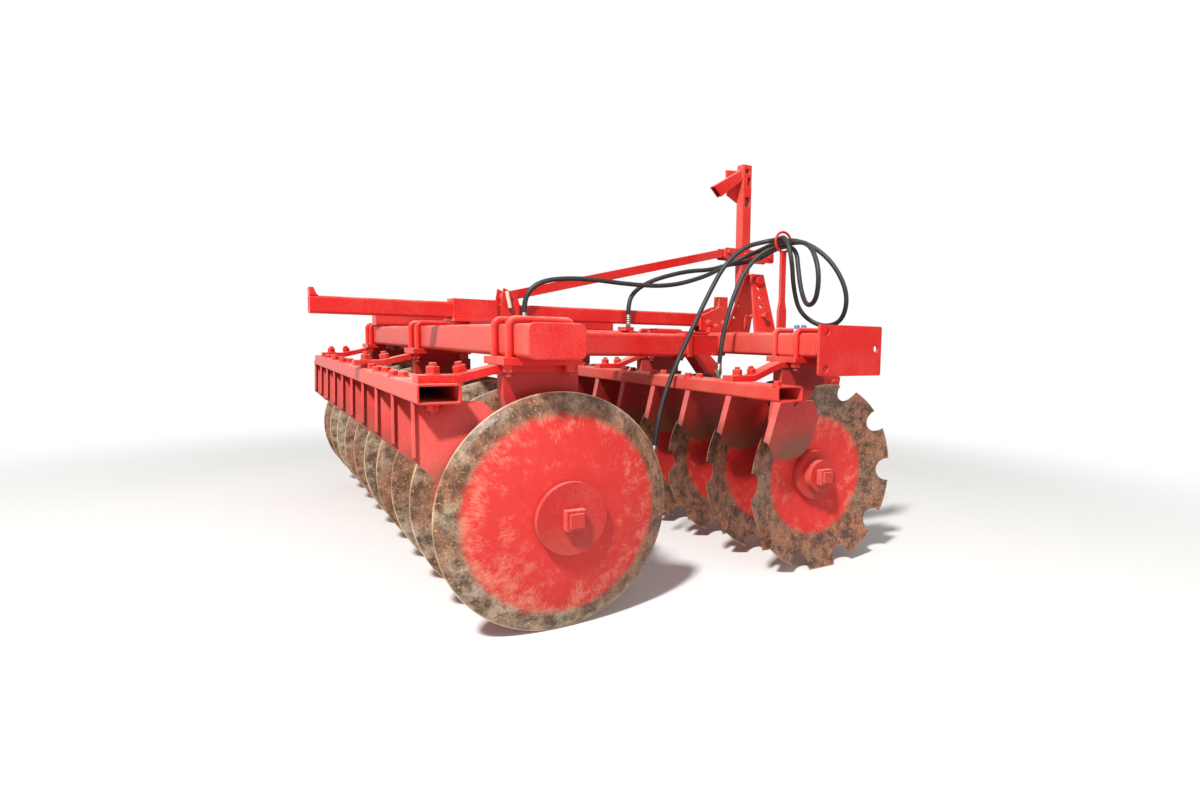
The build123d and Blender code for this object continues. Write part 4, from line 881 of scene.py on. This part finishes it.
@dataclass(frozen=True)
class GangHardware:
    """Fasteners and welds of one gang's hangers, housings and scraper bar."""

    name: str
    body: Body
    enamel: Material
    steel: Material
    hollow: int
    axle_y: float
    beam_y: float
    bar_y: float
    bar_z: float
    bar_near_x: float
    bar_far_x: float
    hanger_spools: tuple[int, ...] = (0, 4, 8)
    dish: float = 0.075
    bar_half_height: float = 0.025
    bar_half_width: float = 0.052
    arm: float = 0.020
    clamp_foot: float = 0.731
    leg_x: float = 0.062
    leg_y: float = 0.085
    housing_top: float = 0.414
    housing_flange: float = 0.370
    housing_bolt_x: float = 0.0365
    housing_bolt_y: float = 0.068
    # Second bolt of an arm, where the arm slopes: from the first one, and its direction
    slope_shift: Row = (-0.004, 0.068, 0.0027)
    slope_way: Row = (0.0, -0.2, 0.98)
    # Bolts of a blade: from the blade's fold along the bar, and back from the bar's middle
    blade_bolts: Rows = ((-0.024, 0.036), (0.026, 0.018))
    fold_x: float = 0.084
    arm_clear: float = 0.052
    end_clear: float = 0.02
    # Beads: turn of a blade, its thickness, and where the bead runs on it from the fold
    blade_turn_deg: float = 10.0
    blade_thickness: float = 0.0085
    bead_reach: Row = (0.004, 0.094)
    bead_r: float = 0.003
    # Thread on a clamp bolt's leg: first ring, half a pitch, radius and depth
    thread_from: float = 0.0175
    thread_step: float = 0.00155
    thread_r: float = 0.0107
    thread_depth: float = 0.0012
    bolt: HexBolt = HexBolt(across=0.030, head=0.019, washer_r=0.019, thread_r=0.010, thread=0.010)
    blade_bolt: HexBolt = HexBolt(across=0.024, head=0.014, washer_r=0.016)
    housing_bolt: HexBolt = HexBolt(across=0.019, head=0.011, washer_r=0.0112, thread_r=0.006, thread=0.008)

    def hanger_xs(self) -> list[float]:
        """Places of the hangers along the gang."""
        near = NEAR_RIM_X - self.hollow * self.dish
        return [near - DISC_PITCH * (spool + 0.5) for spool in self.hanger_spools]

    def fold_xs(self) -> list[float]:
        """Places along the bar where the scraper blades fold."""
        return [NEAR_RIM_X - DISC_PITCH * place + self.hollow * self.fold_x for place in range(DISC_COUNT)]

    def fasteners(self) -> None:
        """Makes the bolts of the scraper arms, the bearing housings and the blades."""
        made = Surfaces()
        bar_top, bar_foot = self.bar_z + self.bar_half_height, self.bar_z - self.bar_half_height
        for number, hanger_x in enumerate(self.hanger_xs()):
            first = (hanger_x, self.bar_y, bar_top + self.arm)
            self.bolt.add(made, first, Way.UP.value, 0.4 + number)
            self.bolt.add(made, (hanger_x, self.bar_y, bar_foot), Way.DOWN.value, 0.9)
            self.bolt.add(made, tuple(np.add(first, self.slope_shift)), self.slope_way, 0.7 * number)
            for x, y in corners(hanger_x, self.axle_y, self.housing_bolt_x, self.housing_bolt_y):
                turn = 0.2 * number + (1 if x > hanger_x else -1)
                self.housing_bolt.add(made, (x, y, self.housing_top), Way.UP.value, turn)
                self.housing_bolt.add(made, (x, y, self.housing_flange), Way.DOWN.value, 0.5)
        # The blades' bolts, left out where an arm lies over them or the bar ends
        low_x, high_x = self.bar_far_x + self.end_clear, self.bar_near_x - self.end_clear
        for place, fold_x in enumerate(self.fold_xs()):
            for along, back in self.blade_bolts:
                clear = min(abs(fold_x + along - hanger_x) for hanger_x in self.hanger_xs())
                if clear > self.arm_clear and low_x < fold_x + along < high_x:
                    foot = (fold_x + along, self.bar_y - back, bar_top)
                    self.blade_bolt.add(made, foot, Way.UP.value, 1.3 * place + along)
        made.finished(self.name + "_gang_fasteners", self.body, self.enamel, "bare_steel_painted")

    def threads(self) -> None:
        """Makes the thread on the ends of the clamp bolts: a sawtooth of radius along each leg."""
        made = Surfaces()
        steps = np.arange(9)
        heights = self.thread_from + steps * self.thread_step
        saw = np.column_stack((heights, self.thread_r - self.thread_depth * (steps % 2)))
        for hanger_x in self.hanger_xs():
            for x, y in corners(hanger_x, self.beam_y, self.leg_x, self.leg_y):
                made.turned(saw, (x, y, self.clamp_foot), Way.DOWN.value, 16)
        made.finished(self.name + "_clamp_bolt_threads", self.body, self.steel, "bare_steel")

    def welds(self) -> None:
        """Makes the beads that hold the blades under their bar, one on each side of a blade."""
        made = Surfaces()
        turn = math.radians(self.blade_turn_deg)
        along = np.array((-self.hollow * math.sin(turn), math.cos(turn), 0.0))
        back, low = self.bar_y - self.bar_half_width + 0.004, self.bar_z - self.bar_half_height
        for fold_x in self.fold_xs():
            for side in (0.0, self.blade_thickness):
                start, end = (tuple((fold_x, back, low) + along * reach + (side, 0.0, 0.0))
                              for reach in self.bead_reach)
                made.bead(start, end, self.bead_r)
        made.finished(self.name + "_scraper_welds", self.body, self.enamel)

    def build(self) -> None:
        """Makes the gang's small pieces."""
        self.fasteners()
        self.threads()
        self.welds()


@dataclass(frozen=True)
class FrameHardware:
    """Bolts, welds and closing plates of the towed frame, hitch mast, tower and rear frame."""

    enamel: Material
    steel: Material
    galvanised: Material
    # Bolts on the two side faces of the saddle and of the mast's foot: faces, then places on each
    saddle_faces: Row = (0.456, 0.374)
    saddle_bolts: Rows = ((0.562, 0.880), (0.600, 0.862), (0.642, 0.880))
    mast_faces: Row = (0.452, 0.378)
    mast_bolts: Rows = ((0.760, 0.775), (0.780, 0.815), (0.722, 0.815))
    rail_bolt_xs: Row = (-0.850, -0.780)
    rail_bolt_ys: Row = (0.597, 0.667)
    rail_top: float = 0.9075
    collar_bolts: tuple[tuple[Row, Way], ...] = (
        ((0.450, 0.757, 1.190), Way.RIGHT),
        ((0.450, 0.779, 1.190), Way.RIGHT),
        ((0.380, 0.768, 1.190), Way.LEFT),
    )
    tower_faces: Row = (0.697, 0.638)
    tower_apex: Row = (0.644, 1.054)
    bolt: HexBolt = HexBolt(across=0.024, head=0.013, washer_r=0.0165)
    collar_bolt: HexBolt = HexBolt(across=0.017, head=0.009, washer_r=0.0105)
    apex_nut: HexBolt = HexBolt(across=0.036, head=0.014, washer_r=0.023)
    seams: Seams = (
        ((1.167,), 0.560, 0.8395, "y", 0.694, 0.0045),
        ((1.167,), 0.560, 0.7505, "y", 0.694, 0.0045),
        ((1.167,), 0.5515, 0.764, "z", 0.826, 0.0045),
        ((1.167,), 0.7025, 0.764, "z", 0.826, 0.0045),
        ((-1.205,), 0.564, 0.8385, "y", 0.690, 0.0035),
        ((0.752, 0.737), 0.598, 0.840, "y", 0.698, 0.0045),
        ((0.568, 0.553), 0.580, 0.840, "y", 0.698, 0.0045),
        ((0.402,), 0.7425, 1.5655, "x", 0.434, 0.0035),
        ((0.4365,), 0.7425, 1.520, "z", 1.562, 0.0035),
        ((0.3925,), 0.7425, 1.430, "z", 1.560, 0.003),
        ((0.361,), 0.5515, 0.8425, "x", 0.470, 0.004),
        ((0.475,), 0.386, 0.8295, "x", 0.555, 0.0045),
        ((0.5555, 0.4745), 0.3955, 0.750, "z", 0.816, 0.0035),
        ((0.548,), 0.420, 0.8235, "y", 0.546, 0.002),
        ((0.792,), 0.650, 0.8415, "x", 0.838, 0.003),
        ((0.8395,), 0.652, 0.8415, "y", 0.698, 0.003),
        ((0.386,), -0.915, 0.9215, "x", 0.444, 0.003),
        ((0.4465, 0.3835), -0.338, 0.868, "y", -0.278, 0.003),
        # Both sides of each hitch ear
        ((-0.0665, -0.0495, 0.0095, 0.0265, 0.8035, 0.8205, 0.8795, 0.8965), 0.7025, 0.756, "z", 0.834,
         0.0035),
    )
    plates: Plates = (
        ((0.3955, 0.7485, 1.5800), (0.4345, 0.7875, 1.5865)),
        ((0.3885, -0.9355, 0.8695), (0.4415, -0.9305, 0.9165)),
        ((0.3885, 0.6600, 0.8695), (0.4415, 0.6655, 0.9165)),
        ((-0.8695, -0.5645, 0.8465), (-0.7605, -0.5595, 0.9065)),
        ((-0.8695, 0.6925, 0.8465), (-0.7605, 0.6975, 0.9065)),
    )
    # Profiles: rows of height and radius
    nipple: Rows = ((-0.001, 0.006), (0.004, 0.006), (0.0045, 0.0035), (0.010, 0.0032), (0.0115, 0.0045),
                    (0.0145, 0.0045), (0.0165, 0.0028))
    clip: Rows = ((0.0, 0.0045), (0.002, 0.0072), (0.060, 0.0072), (0.062, 0.0045))
    clip_top: Row = (0.4672, -0.323, 0.967)
    clip_way: Row = (0.0, 0.196, -0.981)
    rear_seams: Seams = (
        ((1.330,), -0.540, 0.8385, "y", -0.408, 0.003),
        ((1.330,), -0.5485, 0.766, "z", 0.824, 0.003),
        ((1.330,), -0.540, 0.7515, "y", -0.408, 0.003),
        ((-1.145,), -0.540, 0.8385, "y", -0.408, 0.003),
        ((-1.145,), -0.5485, 0.766, "z", 0.824, 0.003),
        ((0.362,), -0.3985, 0.8295, "x", 0.468, 0.0035),
        ((0.362,), -0.3985, 0.7605, "x", 0.468, 0.0035),
    )
    # Tongue that carries the last blade past its bar's end: the half outside the bar and the half inside
    tongue: Plates = (
        ((-1.3105, -0.7830, 0.6345), (-1.2440, -0.6820, 0.6520)),
        ((-1.2450, -0.7760, 0.6405), (-1.1900, -0.6880, 0.6515)),
    )

    def bolt_places(self) -> list[tuple[Row, Way]]:
        """Lists the bolts in the order that their hexagons turn.

        Returns:
            Feet and directions.
        """
        found = []
        for faces, places in ((self.saddle_faces, self.saddle_bolts), (self.mast_faces, self.mast_bolts)):
            for x, way in zip(faces, (Way.RIGHT, Way.LEFT)):
                found += [((x, *place), way) for place in places]
        found += [((x, y, self.rail_top), Way.UP) for y in self.rail_bolt_ys for x in self.rail_bolt_xs]
        return found + list(self.collar_bolts)

    def fasteners(self) -> None:
        """Makes the bolts and the nuts of the tower's pin."""
        made = Surfaces()
        for number, (place, way) in enumerate(self.bolt_places()):
            size = self.collar_bolt if (place, way) in self.collar_bolts else self.bolt
            size.add(made, place, way.value, 0.37 * number)
        for x, way in zip(self.tower_faces, (Way.RIGHT, Way.LEFT)):
            self.apex_nut.add(made, (x, *self.tower_apex), way.value)
        made.finished("frame_fasteners", Body.FRAME, self.enamel, "bare_steel_painted")

    def build(self) -> None:
        """Makes the small pieces of both frames."""
        self.fasteners()
        Surfaces().seams(self.seams).finished("frame_welds", Body.FRAME, self.enamel)
        Surfaces().blocks(self.plates).finished("tube_end_plates", Body.FRAME, self.enamel)
        nipples = Surfaces()
        nipples.turned(self.nipple, (PIVOT_X, REAR_BEAM_Y, 0.9215), Way.UP.value, 16)
        nipples.turned(self.nipple, (0.4545, -0.306, 0.900), Way.RIGHT.value, 16)
        nipples.finished("grease_nipples", Body.FRAME, self.steel, "bare_steel")
        # Clip that hangs against the end of the brace's rear pin
        clip = Surfaces()
        clip.turned(self.clip, self.clip_top, self.clip_way, 12)
        clip.finished("brace_pin_clip", Body.FRAME, self.galvanised, "bare_steel")
        Surfaces().blocks(self.tongue).finished("rear_bar_tongue", Body.REAR_FRAME, self.enamel)
        Surfaces().seams(self.rear_seams).finished("rear_frame_welds", Body.REAR_FRAME, self.enamel)


@dataclass(frozen=True)
class CouplerCaps:
    """Two moulded dust caps on the beam for the hoses' couplers, white below and blue above."""

    skirt: Material
    cap: Material
    places: Rows = ((0.974, 0.622), (1.004, 0.630))
    skirt_r: float = 0.0125
    cap_r: float = 0.0105
    # Profiles: rows of height and share of the radius
    skirt_profile: Rows = ((-0.0005, 0.9), (0.002, 1.0), (0.015, 1.0), (0.0165, 0.9))
    cap_profile: Rows = ((0.016, 1.0), (0.027, 1.0), (0.030, 0.92), (0.032, 0.7))

    def build(self) -> None:
        """Makes the caps."""
        kinds = (("cap_skirts", self.skirt_profile, self.skirt_r, self.skirt),
                 ("cap_crowns", self.cap_profile, self.cap_r, self.cap))
        for name, profile, radius, finish in kinds:
            made = Surfaces()
            for place in self.places:
                made.turned(np.array(profile) * (1.0, radius), (*place, BEAM_TOP), Way.UP.value, 32)
            made.finished(name, Body.FRAME, finish, "hose_rubber")


def main() -> None:
    """Builds the classes in order and reports each piece."""
    logging.basicConfig(level=logging.INFO, format="%(name)s: %(message)s")
    bpy.context.scene.view_settings.view_transform = "Standard"
    PhotoCamera().build()
    rubber = HoseRubber().build()
    # Zinc-plated free-cutting steel, dull and dusty
    plated = PlainSteel("zinc_plated_steel", "9C9A94", "6B5C4C", 0.45, roughness=0.38).build()
    HydraulicHose("hose_a", LONG_ROUTE, rubber, plated, length=3.487, coupler_length=0.080).build()
    HydraulicHose("hose_b", SHORT_ROUTE, rubber, plated, length=2.462, coupler_length=0.062).build()
    Studio().build()

    # One enamel, dirtier the nearer a piece works to the ground
    enamel = SunlitAndBleachedEnamel().build()
    blade = SunlitAndBleachedEnamel(name="scraper_enamel", fresh="A81512", sunlit_faded="D84A42", sunlit_chalk="E88A80",
                           soil_top=0.53, soil_fade=0.09, bump_mm=0.4).build()
    casting = SunlitAndBleachedEnamel(name="sprayed_casting_enamel", fresh="B0201D", sunlit_faded="CC4038", sunlit_chalk="DD6A60",
                             soil_top=0.34, soil_fade=0.30, grain_size_mm=4.0, bump_mm=1.2,
                             roughness=0.5).build()
    dress(enamel, *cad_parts)
    for gang in ("front", "rear"):
        dress(blade, gang + "_scrapers")
        for piece in ("hangers", "bearing_housings", "spools", "end_hubs", "gang_bolt"):
            dress(casting, f"{gang}_{piece}")
    plain = SoilPolishedDisc("worn_plain_disc", REAR_AXLE_Y, worn_from=0.82)
    notched = SoilPolishedDisc("worn_notched_disc", FRONT_AXLE_Y, worn_from=0.64, band="8E5C46",
                               band_grey="80604C", band_dark="3A2722", rim_share=0.45)
    dress(plain.build(), "rear_discs")
    dress(notched.build(), "front_discs")
    # Rolled bolt steel under a film of brown rust
    rusted = PlainSteel("rusted_bolt_steel", "6E5A4C", "7A4A30", 0.6, 0.5, metallic=0.7).build()
    dress(rusted, "pivot_pin")
    # Hard chrome on the rod, clean where the gland wipes it
    chrome = PlainSteel("hard_chrome", "C9CACC", "8D8578", film_share=0.15, roughness=0.12)
    dress(chrome.build(), "cylinder_rod")
    LOG.info("dressed %d nodes", len(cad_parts))

    GangHardware("front", Body.FRAME, enamel, rusted, hollow=1, axle_y=FRONT_AXLE_Y, beam_y=FRONT_BEAM_Y,
                 bar_y=0.323, bar_z=0.638, bar_near_x=1.300, bar_far_x=-1.170).build()
    GangHardware("rear", Body.REAR_FRAME, enamel, rusted, hollow=-1, axle_y=REAR_AXLE_Y, beam_y=REAR_BEAM_Y,
                 bar_y=-0.732, bar_z=0.660, bar_near_x=1.225, bar_far_x=-1.245).build()
    # Hot-dipped clip, dull and cream with age
    galvanised = PlainSteel("galvanised_clip_steel", "DCD3BE", "A99B82", 0.4, 0.5, metallic=0.3).build()
    FrameHardware(enamel, rusted, galvanised).build()
    white, blue = MouldedPlastic("white_polythene", "E6E6E2"), MouldedPlastic("blue_polythene", "4F78B4")
    CouplerCaps(white.build(), blue.build()).build()


if __name__ == "__main__":
    main()
